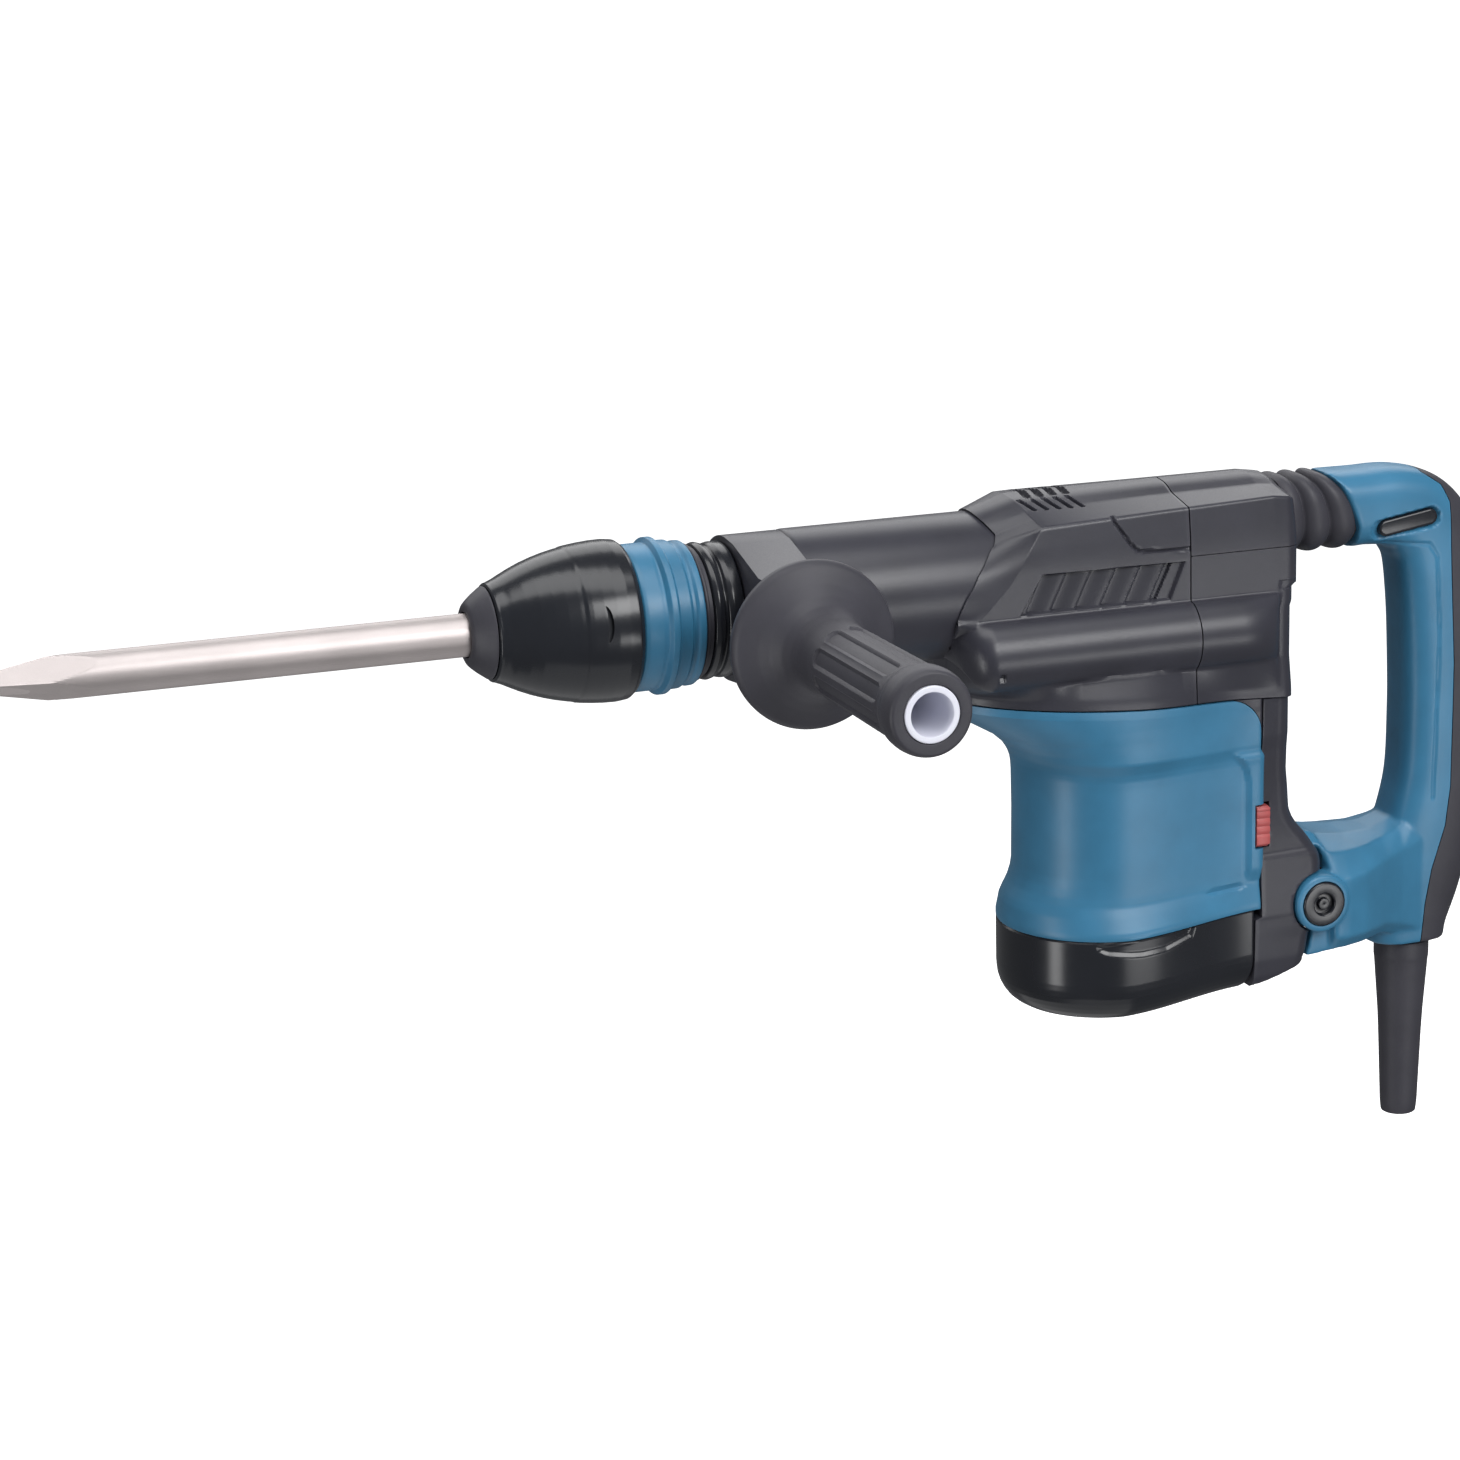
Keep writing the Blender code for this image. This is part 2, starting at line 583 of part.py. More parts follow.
def gear_housing():
    """The front half: it grows out of the barrel and carries the two lobes."""
    rings = [
        lower_section(LOBE_FRONT_X, (0.0300, -0.0290, 0.0110), 0.0200),
        lower_section(LOBE_FRONT_X + 0.0030, (0.0290, -0.0284, 0.0150), 0.0270),
        lower_section(LOBE_FRONT_X + 0.0080, (0.0285, -0.0280, 0.0172), 0.0360),
        full_section(HOUSING_FRONT_X, (0.0335, 0.0190), (0.0310, 0.0135), (0.0332, -0.0085), skirt=0.0400,
                     lean=0.0140),
        full_section(HOUSING_FRONT_X + 0.0140, (0.0372, 0.0225), (0.0325, 0.0125), (0.0334, -0.0085)),
        full_section(HOUSING_FRONT_X + 0.0220),
        full_section(HOUSING_PART_X - GAP),
    ]
    made = thicken(loft("gear_housing", DARK, rings, True, False))
    cut(made, cylinder_cutter("cut_barrel_way", "+X", TOOL, -0.1000, -0.0380, BARREL_R + GAP, 32))
    cut(made, cylinder_cutter("cut_shaft_way", "+Z", (0.0, 0.0, 0.0), 0.1300, 0.1480, 0.0110, 20))
    for row in range(2):
        for i in range(4):
            x = -0.0350 + 0.0068 * i + 0.0030 * row
            slot = box(f"cut_vent_{row}_{i}", None, (x, -0.0155 + 0.0095 * row, AXIS_Z + 0.0260),
                       (x + 0.0030, -0.0085 + 0.0095 * row, AXIS_Z + 0.0450))
            cut(made, slot)
    return made


TOP_SEAM = AXIS_Z + 0.0095  # lower edge of the top cover


def rear_rings():
    """Sections from the joint to the back, where the lobes end and the corners draw in."""
    flat_side = (0.0190, -0.0280, 0.0110)
    return [
        full_section(HOUSING_PART_X),
        full_section(HOUSING_REAR_X - 0.0120),
        full_section(HOUSING_REAR_X - 0.0085, lobe=(0.0230, -0.0280, 0.0125), skirt=0.0350),
        full_section(HOUSING_REAR_X - 0.0030, side=(0.0325, -0.0085), lobe=flat_side, skirt=0.0325),
        full_section(HOUSING_REAR_X, (0.0360, 0.0215), (0.0300, 0.0118), (0.0300, -0.0085), flat_side, 0.0305),
    ]


def rear_housing():
    """The rear half under the top cover, closed at the back."""
    rings = rear_rings()
    made = thicken(loft("rear_housing", DARK, rings, False, True))
    cut(made, box("cut_top_cover_way", None, (0.0, -0.0600, TOP_SEAM), (0.1000, 0.0600, 0.2500)))
    return made


def top_cover():
    """The lid over the crank, split from the rear housing along a level seam."""
    rings = rear_rings()
    made = thicken(loft("top_cover", DARK, rings, False, True))
    return cut(made, box("cut_below_top_cover", None, (0.0, -0.0600, 0.1000),
                         (0.1000, 0.0600, TOP_SEAM + GAP)))


def absorber(where, side):
    """A weight between two springs in each lobe, against the striking parts' vibration."""
    middle = (0.0, side * 0.0310, AXIS_Z - 0.0305)
    tube(f"absorber_weight_{where}", STEEL, "+X", middle, -0.0530, -0.0210, 0.0080, 0.0033, 16)
    coil_spring(f"absorber_spring_front_{where}", "+X", middle, -0.0690, -0.0533, 0.0060, 0.0009, 4)
    coil_spring(f"absorber_spring_rear_{where}", "+X", middle, -0.0207, -0.0025, 0.0060, 0.0009, 4)


# ---------------------------------------------------------------- side handle

GRIP_AXIS = (GRIP_X, 0.0, AXIS_Z)


def side_handle():
    """The clamp base round the neck, its bolt, the rubber grip and the white tube in it."""
    outline = []
    for i in range(15):
        a = math.radians(-(90 + 7.8) + (180 + 15.6) * i / 14)
        outline.append((0.0307 * math.sin(a), 0.0307 * math.cos(a)))
    # local X is -Z and local Y is Y once the plate's axis lies along +X
    outline = [(z, y) for z, y in outline] + [(0.0212, -0.0520), (-0.0212, -0.0520)]
    base = as_mesh(plate("side_handle_base", BLACK, outline, [circle(NECK_R + GAP, 32)],
                         "+X", TOOL, CLAMP_X[0], CLAMP_X[1]))
    cut(base, cylinder_cutter("cut_bolt_head", "-Y", GRIP_AXIS, 0.0200, 0.0350, 0.0098, 20),
        cylinder_cutter("cut_bolt_way", "-Y", GRIP_AXIS, 0.0300, 0.0700, 0.0063, 20))
    turned("side_handle_bolt", STEEL, "-Y", GRIP_AXIS,
           [(0.0300, 0.0095), (0.0345, 0.0095), (0.0346, 0.0060), (0.1150, 0.0060)], None, 16)
    turned("side_grip", RUBBER, "-Y", GRIP_AXIS,
           [(0.0523, 0.0190), (0.0690, 0.0190), (0.0705, 0.0290), (0.0740, 0.0342), (0.0785, 0.0350),
            (0.0805, 0.0335), (0.0850, 0.0250), (0.0920, 0.0182), (0.1000, 0.0158), (0.1120, 0.0153),
            (0.1840, 0.0158), (0.1890, 0.0172), (0.1980, 0.0175), (GRIP_END, 0.0165)],
           [(0.0523, 0.0063), (0.0950, 0.0063), (0.0952, 0.0115), (GRIP_END, 0.0115)], 24)
    turned("side_grip_core", WHITE, "-Y", GRIP_AXIS,
           [(0.0955, 0.0112), (GRIP_END + 0.0004, 0.0112)],
           [(0.0955, 0.0063), (0.1170, 0.0063), (0.1172, 0.0082), (GRIP_END + 0.0004, 0.0082)], 20)


# ---------------------------------------------------------------- rear handle

HANDLE_PATH = (  # x, z, half thickness in the handle's plane, half width; from the bellows round to the foot
    (0.1060, 0.2122, 0.0172, 0.0180), (0.1230, 0.2122, 0.0172, 0.0178), (0.1400, 0.2115, 0.0180, 0.0175),
    (0.1520, 0.2055, 0.0200, 0.0172), (0.1610, 0.1930, 0.0205, 0.0170), (0.1645, 0.1700, 0.0208, 0.0172),
    (0.1662, 0.1400, 0.0208, 0.0176), (0.1665, 0.1150, 0.0208, 0.0176), (0.1650, 0.0850, 0.0205, 0.0172),
    (0.1600, 0.0600, 0.0220, 0.0172), (0.1540, 0.0400, 0.0225, 0.0172), (0.1498, 0.0230, 0.0205, 0.0170),
    (0.1498, 0.0110, 0.0185, 0.0165),
)


def handle_rings(thin):
    """Rounded sections square to the handle's path, drawn in by thin."""
    path = [Vector((x, 0.0, z)) for x, z, _, _ in HANDLE_PATH]
    rings = []
    for i, (_, _, deep, wide) in enumerate(HANDLE_PATH):
        along = (path[min(i + 1, len(path) - 1)] - path[max(i - 1, 0)]).normalized()
        across = Vector((0.0, 1.0, 0.0))
        out = along.cross(across)
        ring = []
        for k in range(16):
            a = 2 * math.pi * k / 16
            c, s = math.cos(a), math.sin(a)
            power = 2 / 2.8
            u = math.copysign(abs(c) ** power, c) * (deep - thin)
            v = math.copysign(abs(s) ** power, s) * (wide - thin)
            ring.append(path[i] + out * u + across * v)
        rings.append(ring)
    return rings


def handle_seam(gap):
    """A cutter on the grip side of the seam that parts the blue frame from the rubber back."""
    seam = ((0.1480, 0.2600), (0.1510, 0.2260), (0.1625, 0.2140), (0.1645, 0.1320), (0.1645, 0.0830),
            (0.1560, 0.0450), (0.1515, 0.0105), (0.1500, -0.0300))
    outline = [(x + gap, z) for x, z in seam] + [(0.2600, -0.0300), (0.2600, 0.2600)]
    shape = bmesh.new()
    ring = [shape.verts.new((x, -0.0800, z)) for x, z in outline]
    face = shape.faces.new(ring)
    grown = bmesh.ops.extrude_face_region(shape, geom=[face])["geom"]
    bmesh.ops.translate(shape, vec=(0.0, 0.1600, 0.0), verts=[v for v in grown if isinstance(v, bmesh.types.BMVert)])
    bmesh.ops.recalc_face_normals(shape, faces=shape.faces)
    mesh = bpy.data.meshes.new(f"cut_handle_seam_{gap}")
    shape.to_mesh(mesh)
    shape.free()
    return add(mesh.name, mesh, None, CUTTERS)


def handle_fork():
    """The lower arm: it spreads from the grip into two cheeks beside the pivot lug."""
    rings = []
    for x, low, high, half in ((0.0775, 0.0360, 0.0500, FORK_OUTER), (0.0870, 0.0240, 0.0620, FORK_OUTER),
                               (0.0980, 0.0225, 0.0660, FORK_OUTER), (0.1100, 0.0215, 0.0665, 0.0350),
                               (0.1260, 0.0190, 0.0680, 0.0260), (0.1480, 0.0120, 0.0690, 0.0180)):
        soft = 0.0060
        corners = [(half - soft, low), (half, low + soft), (half, high - soft), (half - soft, high)]
        ring = corners + [(-y, z) for y, z in reversed(corners)]
        rings.append([(x, y, z) for y, z in ring])
    return loft("join_fork", None, rings)


def rear_handle():
    """A hollow frame and a rubber back, split along the grip."""
    x, z = PIVOT
    fork = handle_fork()
    way = box("cut_fork_way", None, (0.0600, -FORK_INNER, -0.0100), (0.1115, FORK_INNER, 0.1000))
    hollow = loft("cut_handle_hollow", None, handle_rings(0.0032)[1:-1])
    frame = loft("handle_frame", BLUE, handle_rings(0.0))
    cut(frame, fork, operation="UNION")
    cut(frame, way, hollow, handle_seam(0.0))
    cut(frame, cylinder_cutter("cut_fork_pin", "-Y", (x, 0.0, z), -0.0600, 0.0600, 0.0063, 16))
    for side in (-1, 1):
        near, far = sorted((-side * 0.0348, -side * 0.0600))
        cut(frame, cylinder_cutter(f"cut_cap_recess_{side}", "-Y", (x, 0.0, z), near, far, 0.0120, 24))
    back = loft("handle_back", RUBBER, handle_rings(0.0))
    keep = handle_seam(GAP)
    cut(back, keep, operation="INTERSECT")
    cut(back, hollow)


def pivot_parts():
    x, z = PIVOT
    pivot = (x, 0.0, z)
    tube("pivot_pin", STEEL, "-Y", pivot, -0.0345, 0.0345, 0.0060, None, 16)
    for where, side in (("left", 1), ("right", -1)):
        start, end = sorted((side * 0.0352, side * 0.0390))
        made = tube(f"pivot_cap_{where}", BLACK, "-Y", pivot, start, end, 0.0116, None, 24)
        near, far = sorted((side * 0.0372, side * 0.0500))
        cut(made, cylinder_cutter(f"cut_cap_socket_{where}", "-Y", pivot, near, far, 0.0045, 6))


def bellows():
    """A rubber boot with three ribs between the housing and the handle."""
    start, end = HOUSING_REAR_X + GAP, 0.1054
    rings = []
    count = 12
    for i in range(count + 1):
        share = i / count
        x = start + (end - start) * share
        swell = 0.0015 * math.sin(2 * math.pi * 3 * share - math.pi / 2)
        ring = []
        for k in range(14):
            a = 2 * math.pi * k / 14
            c, s = math.cos(a), math.sin(a)
            y = math.copysign(abs(c) ** 0.75, c) * (0.0172 + swell)
            z = math.copysign(abs(s) ** 0.75, s) * (0.0162 + swell)
            ring.append((x, y, AXIS_Z + 0.0175 + z))
        rings.append(ring)
    return thicken(loft("bellows", RUBBER, rings, False, False), 0.0016)


def handle_trim():
    top = (0.0, 0.0, AXIS_Z + 0.0175)
    coil_spring("handle_spring", "+X", top, HOUSING_REAR_X + 0.0006, 0.1054, 0.0085, 0.0011, 5)
    turned("cord_guard", RUBBER, "+Z", (GUARD_X, 0.0, 0.0),
           [(-0.0740, 0.0080), (-0.0690, 0.0085), (-0.0350, 0.0100), (-0.0250, 0.0106), (0.0020, 0.0143),
            (0.0095, 0.0143)],
           [(-0.0740, 0.0050), (0.0095, 0.0050)], 20)


# ---------------------------------------------------------------- assembly

chuck()
barrel()
striking_parts()
crank_drive()
motor()
motor_housing()
base_cover()
rear_cover()
switch()
gear_housing()
rear_housing()
top_cover()
absorber("left", -1)
absorber("right", 1)
side_handle()
rear_handle()
pivot_parts()
bellows()
handle_trim()
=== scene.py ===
import math

import bmesh
import bpy
from mathutils import Matrix, Vector


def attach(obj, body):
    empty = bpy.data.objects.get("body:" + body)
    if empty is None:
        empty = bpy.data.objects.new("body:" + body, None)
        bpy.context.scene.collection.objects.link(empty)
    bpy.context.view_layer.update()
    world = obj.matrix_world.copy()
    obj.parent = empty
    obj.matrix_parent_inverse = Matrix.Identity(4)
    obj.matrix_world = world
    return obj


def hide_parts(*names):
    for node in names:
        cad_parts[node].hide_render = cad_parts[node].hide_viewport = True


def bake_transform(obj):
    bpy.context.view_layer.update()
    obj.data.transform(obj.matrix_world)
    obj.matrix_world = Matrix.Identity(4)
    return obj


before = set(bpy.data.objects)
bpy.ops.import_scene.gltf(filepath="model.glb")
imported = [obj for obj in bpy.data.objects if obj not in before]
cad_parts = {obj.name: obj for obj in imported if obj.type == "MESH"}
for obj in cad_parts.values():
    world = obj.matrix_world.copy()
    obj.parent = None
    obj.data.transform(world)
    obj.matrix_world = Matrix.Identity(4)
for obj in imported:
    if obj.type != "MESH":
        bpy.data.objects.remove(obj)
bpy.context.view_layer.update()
scene = bpy.context.scene
# Lengths are metres; the tables inside mm(...) and the outlines given to turned(...) are millimetres.
# The chisel points to -x, the side grip to -y, and heights are over the base.
AXIS_Z = 0.195  # height of the chisel's axis
GAP = 0.0003  # the line left open between two shells
WALL = 0.0024  # the shells' thickness
TOOL = Vector((0.0, 0.0, AXIS_Z))
GRIP_X = -0.1622  # the side grip's axis
PIVOT = (0.0910, 0.0430)  # x and height of the pin that the rear handle swings on
PIN = 0.0063  # radius of the bores for the pivot pin and the side handle's bolt
# radii round the pivot: the fork's bosses, their seats in the rear cover, the cover's hub, the caps' seats
BOSS, BOSS_SEAT, HUB, CAP_SEAT = 0.0130, 0.0140, 0.0135, 0.0103
TOP_JOINT = 0.2045  # height of the line between the rear housing and the crank's lid
HOUSING_JOINT = 0.0276  # x of the line between the front and the rear housing


# ---------------------------------------------------------------- materials

def fill(tree, socket, value):
    """Gives a socket a constant or another node's output."""
    if isinstance(value, bpy.types.NodeSocket):
        tree.links.new(value, socket)
    else:
        socket.default_value = value


def add(tree, kind, output, **inputs):
    """Adds a shader node and returns one of its outputs."""
    made = tree.nodes.new("ShaderNode" + kind)
    for name, value in inputs.items():
        fill(tree, made.inputs[name.replace("_", " ")], value)
    return made.outputs[output]


def blended(tree, *values):
    """A colour between two others, by a factor."""
    mix = tree.nodes.new("ShaderNodeMix")
    mix.data_type = "RGBA"
    for socket, value in zip([mix.inputs["Factor"]] + [s for s in mix.inputs if s.type == "RGBA"], values):
        fill(tree, socket, value)
    return [s for s in mix.outputs if s.type == "RGBA"][0]


def surface(name, colour, roughness, metallic=0.0, grain=1400.0, relief=0.00002, mottle=0.10, wear=0.10,
            specular=0.5, stretch=(1.0, 1.0, 1.0), spread=0.06):
    """A moulded or machined surface: fine relief, slight mottling, uneven gloss and rubbed edges."""
    made = bpy.data.materials.new(name)
    made.use_nodes = True
    made.diffuse_color = (*colour, 1.0)
    tree = made.node_tree

    def ramp(source, low, high, to_low, to_high):
        return add(tree, "MapRange", "Result", Value=source, From_Min=low, From_Max=high, To_Min=to_low,
                   To_Max=to_high)

    place = add(tree, "Mapping", "Vector", Vector=add(tree, "TexCoord", "Object"), Scale=stretch)
    broad, fine = (add(tree, "TexNoise", "Fac", Vector=place, Scale=size, Detail=detail)
                   for size, detail in ((42.0, 4.0), (grain, 3.0)))
    darker, lighter = ((*(min(1.0, c * share) for c in colour), 1.0) for share in (1 - mottle, 1 + mottle))
    rubbed = (*(min(1.0, c * 1.6 + 0.03) for c in colour), 1.0)
    edges = ramp(add(tree, "NewGeometry", "Pointiness"), 0.52, 0.60, 0.0, wear)
    body = blended(tree, ramp(broad, 0.3, 0.7, 0.0, 1.0), darker, lighter)
    shader = tree.nodes["Principled BSDF"]
    for key, value in (
        ("Metallic", metallic), ("Specular IOR Level", specular), ("Base Color", blended(tree, edges, body, rubbed)),
        ("Roughness", ramp(fine, 0.25, 0.75, roughness - spread, roughness + spread)),
        ("Normal", add(tree, "Bump", "Normal", Height=fine, Strength=0.6, Distance=relief)),
    ):
        fill(tree, shader.inputs[key], value)
    return made


LOOKS = {name: surface(name, *look, **more) for name, look, more in (
    ("blue_plastic", ((0.040, 0.183, 0.322), 0.38), dict(grain=1700.0, relief=0.00003)),
    ("dark_grey_plastic", ((0.034, 0.034, 0.045), 0.35), dict(grain=1700.0, relief=0.00003, wear=0.14)),
    ("black_plastic", ((0.014, 0.0155, 0.020), 0.22), dict(grain=1500.0, relief=0.000004, wear=0.12, spread=0.02)),
    ("grip_rubber", ((0.046, 0.045, 0.056), 0.50), dict(grain=2100.0, relief=0.00005, mottle=0.12, specular=0.4)),
    ("white_plastic", ((0.78, 0.79, 0.88), 0.35), dict(mottle=0.03, wear=0.0)),
    ("red_plastic", ((0.42, 0.085, 0.085), 0.42), dict(wear=0.15)),
    ("blasted_steel", ((0.52, 0.475, 0.468), 0.50, 1.0), dict(grain=2600.0, relief=0.00006, mottle=0.05, wear=0.3)),
    ("machined_steel", ((0.56, 0.565, 0.58), 0.26, 1.0), dict(grain=300.0, mottle=0.05, stretch=(12.0, 1.0, 1.0))),
    ("spring_steel", ((0.30, 0.305, 0.32), 0.32, 1.0), dict(grain=900.0, mottle=0.08)),
    ("cast_alloy", ((0.42, 0.425, 0.435), 0.50, 1.0), dict(grain=700.0, relief=0.00015, mottle=0.08)),
    ("copper_winding", ((0.60, 0.24, 0.10), 0.33, 1.0),
     dict(grain=420.0, relief=0.0003, stretch=(1.0, 1.0, 5.0), mottle=0.15)),
    ("carbon", ((0.030, 0.030, 0.032), 0.70), dict(grain=2000.0, relief=0.0001, mottle=0.2)),
)}
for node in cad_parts.values():
    for i, used in enumerate(node.data.materials):
        node.data.materials[i] = LOOKS[used.name.split(".")[0]]


# ---------------------------------------------------------------- shape tools

def mm(*rows):
    """Rows of millimetres in metres."""
    return [tuple(value / 1000 for value in row) for row in rows]


def ease(low, high, value):
    """0 below low, 1 above high, and a smooth step between them; low may lie above high."""
    t = min(1.0, max(0.0, (value - low) / (high - low)))
    return t * t * (3 - 2 * t)


def angles(count):
    """A full turn in equal steps."""
    return [2 * math.pi * k / count for k in range(count)]


def squared(value, power):
    """Sine or cosine bent towards a rounded square; a smaller power is squarer."""
    return math.copysign(abs(value) ** power, value)


def away(x, z, line):
    """How far a point lies from a line of points."""
    best = 1.0
    for (ax, az), (bx, bz) in zip(line, line[1:]):
        dx, dz = bx - ax, bz - az
        t = min(1.0, max(0.0, ((x - ax) * dx + (z - az) * dz) / (dx * dx + dz * dz)))
        best = min(best, math.hypot(x - ax - dx * t, z - az - dz * t))
    return best


def side_of(x, z, line):
    """True where a point lies inside a closed outline."""
    inside = False
    for (ax, az), (bx, bz) in zip(line, line[1:] + line[:1]):
        if (az > z) != (bz > z) and x < ax + (bx - ax) * (z - az) / (bz - az):
            inside = not inside
    return inside


def within(x, z, line, soft):
    """1 well inside an outline, 0 outside it, with a soft edge."""
    if not side_of(x, z, line):
        return 0.0
    return ease(0.0, soft, away(x, z, line + line[:1]))


def groove(x, z, line, half, deep):
    """Depth of a fine joint line."""
    return deep * (1 - ease(half * 0.5, half * 1.6, away(x, z, line)))


def past_corner(x, z, corner_x, corner_z, radius):
    """How far a point is past a rounded corner whose sides run along x and z."""
    dx, dz = x - (corner_x - radius), z - (corner_z - radius)
    return (math.hypot(dx, dz) if dx > 0 and dz > 0 else max(dx, dz)) - radius


def value_at(table, key, column=1):
    """Straight-line reading of a table of rows sorted by their first number."""
    if key <= table[0][0]:
        return table[0][column]
    for low, high in zip(table, table[1:]):
        if key <= high[0]:
            return low[column] + (high[column] - low[column]) * (key - low[0]) / (high[0] - low[0])
    return table[-1][column]


def divided(table, step):
    """Rows about a step apart between the rows of a table, without its last row."""
    rows = []
    for low, high in zip(table, table[1:]):
        parts = max(1, round((high[0] - low[0]) / step))
        rows += [[a + (b - a) * k / parts for a, b in zip(low, high)] for k in range(parts)]
    return rows


def rounded(points, radii, counts):
    """A line of points with rounded corners, in a fixed number of steps, so that sections join up."""
    out = []
    for i, (p, radius) in enumerate(zip(points, radii)):
        p = Vector(p)
        corner = [p]
        turns = max(4, round(radius / 0.0005))
        if 0 < i < len(points) - 1 and radius:
            back, on = Vector(points[i - 1]) - p, Vector(points[i + 1]) - p
            reach = min(radius, 0.45 * back.length, 0.45 * on.length)
            a, b = p + back.normalized() * reach, p + on.normalized() * reach
            corner = [a * (1 - t) ** 2 + p * 2 * t * (1 - t) + b * t * t
                      for t in (k / turns for k in range(turns + 1))]
        if out:
            last, steps = out[-1], counts[i - 1]
            out += [last.lerp(corner[0], k / steps) for k in range(1, steps)]
        out += corner
    return out


def smooth_path(rows, steps):
    """Catmull-Rom through rows of numbers."""
    rows = [tuple(row) for row in rows]
    out = []
    for i in range(len(rows) - 1):
        a, b, c, d = (rows[min(max(i + k, 0), len(rows) - 1)] for k in (-1, 0, 1, 2))
        for k in range(steps):
            t = k / steps
            out.append(tuple(
                0.5 * (2 * q + (r - p) * t + (2 * p - 5 * q + 4 * r - s) * t * t
                       + (3 * q - p - 3 * r + s) * t ** 3) for p, q, r, s in zip(a, b, c, d)))
    return out + [rows[-1]]


def sheet(rings, start=False, end=False):
    """A surface through closed rings with the same number of points; its ends may be closed too."""
    made = bmesh.new()
    rows = [[made.verts.new(p) for p in ring] for ring in rings]
    count = len(rows[0])
    for low, high in zip(rows, rows[1:]):
        for i in range(count):
            j = (i + 1) % count
            made.faces.new((low[i], low[j], high[j], high[i]))
    if start:
        made.faces.new(rows[0][::-1])
    if end:
        made.faces.new(rows[-1])
    return made


def face_out(made):
    """Turns an open surface's faces outward."""
    made.normal_update()
    centre = sum((v.co for v in made.verts), Vector()) / len(made.verts)
    total = 0.0
    for face in made.faces:
        total += face.normal.dot(face.calc_center_median() - centre) * face.calc_area()
    if total < 0:
        bmesh.ops.reverse_faces(made, faces=made.faces)
    made.normal_update()
    return made


def dent(made, depth):
    """Moves each point inward along its normal by depth(point)."""
    made.normal_update()
    moves = [(v, v.normal * depth(v.co)) for v in made.verts]
    for v, move in moves:
        v.co -= move
    made.normal_update()
    return made


def thing(name, made):
    """Puts a finished shape into the scene."""
    mesh = bpy.data.meshes.new(name)
    made.to_mesh(mesh)
    made.free()
    obj = bpy.data.objects.new(name, mesh)
    scene.collection.objects.link(obj)
    return obj


def solid(name, rings):
    """A closed shape through rings of points."""
    made = sheet(rings, True, True)
    bmesh.ops.recalc_face_normals(made, faces=made.faces)
    return thing(name, made)


def settle(obj):
    """Applies the object's modifiers."""
    bpy.context.view_layer.update()
    mesh = bpy.data.meshes.new_from_object(obj.evaluated_get(bpy.context.evaluated_depsgraph_get()))
    obj.modifiers.clear()
    obj.data = mesh
    return obj


def thicken(obj, wall=WALL):
    """Gives an open surface its wall, inward."""
    step = obj.modifiers.new("wall", "SOLIDIFY")
    step.thickness = wall
    step.offset = -1.0
    return settle(obj)


def soften(obj, width, angle=40, segments=2):
    """Rounds the edges that are sharper than an angle."""
    bevel = obj.modifiers.new("edge", "BEVEL")
    bevel.width = width
    bevel.segments = segments
    bevel.limit_method = "ANGLE"
    bevel.angle_limit = math.radians(angle)
    bevel.use_clamp_overlap = True
    return settle(obj)


def combine(obj, other, operation="DIFFERENCE"):
    """Cuts another shape out of a piece, or adds it, and removes the other shape."""
    step = obj.modifiers.new("combine", "BOOLEAN")
    step.operation = operation
    step.solver = "EXACT"
    step.object = other
    settle(obj)
    bpy.data.objects.remove(other)
    return obj


def join(obj, *others):
    """Puts closed shapes into one mesh; a later remesh makes one skin of them."""
    made = bmesh.new()
    for part in (obj, *others):
        made.from_mesh(part.data)
    made.to_mesh(obj.data)
    made.free()
    for part in others:
        bpy.data.objects.remove(part)
    return obj


def coil(name, start, end, middle, radius, wire, turns):
    """A compression spring along x, in 24 steps a turn."""
    rings = []
    count = turns * 24
    low, high = start + wire, end - wire
    for i in range(count + 1):
        a = 2 * math.pi * i / 24
        out = Vector((0.0, math.cos(a), math.sin(a)))
        centre = Vector((low + (high - low) * i / count, middle[0] + radius * out.y, middle[1] + radius * out.z))
        along = Vector(((high - low) / count * 24 / (2 * math.pi), -radius * out.z, radius * out.y)).normalized()
        side = along.cross(out)
        rings.append([centre + (out * math.cos(t) + side * math.sin(t)) * wire for t in angles(10)])
    return solid(name, rings)


def block(low, high):
    """A box from corner to corner, to cut with."""
    low, high = Vector(low), Vector(high)
    shape = bmesh.new()
    bmesh.ops.create_cube(shape, size=1.0, matrix=Matrix.Translation((low + high) / 2)
                          @ Matrix.Diagonal((*(high - low), 1.0)))
    return thing("block", shape)


def rod(place, radius, depth, sides=64, axis="X"):
    """A round bar to cut with or to add; it lies across the tool unless it is turned about Y."""
    shape = bmesh.new()
    bmesh.ops.create_cone(shape, cap_ends=True, segments=sides, radius1=radius, radius2=radius, depth=depth,
                          matrix=Matrix.Translation(place) @ Matrix.Rotation(math.radians(90), 4, axis))
    return thing("rod", shape)


def rod_y(centre, radius, near, far, sides=64):
    """A round bar across the tool from near to far."""
    return rod((centre[0], (near + far) / 2, centre[1]), radius, far - near, sides)


def pushed(name, points, way, turn=None):
    """A flat outline pushed along a vector, and then turned."""
    shape = bmesh.new()
    face = shape.faces.new([shape.verts.new(p) for p in points])
    grown = bmesh.ops.extrude_face_region(shape, geom=[face])["geom"]
    bmesh.ops.translate(shape, vec=way, verts=[v for v in grown if isinstance(v, bmesh.types.BMVert)])
    bmesh.ops.recalc_face_normals(shape, faces=shape.faces)
    if turn:
        bmesh.ops.transform(shape, verts=shape.verts, matrix=turn)
    return thing(name, shape)


def prism(outline, half):
    """A block with an outline in the handle's plane."""
    return pushed("prism", [(x, -half, z) for x, z in outline], (0.0, 2 * half, 0.0))


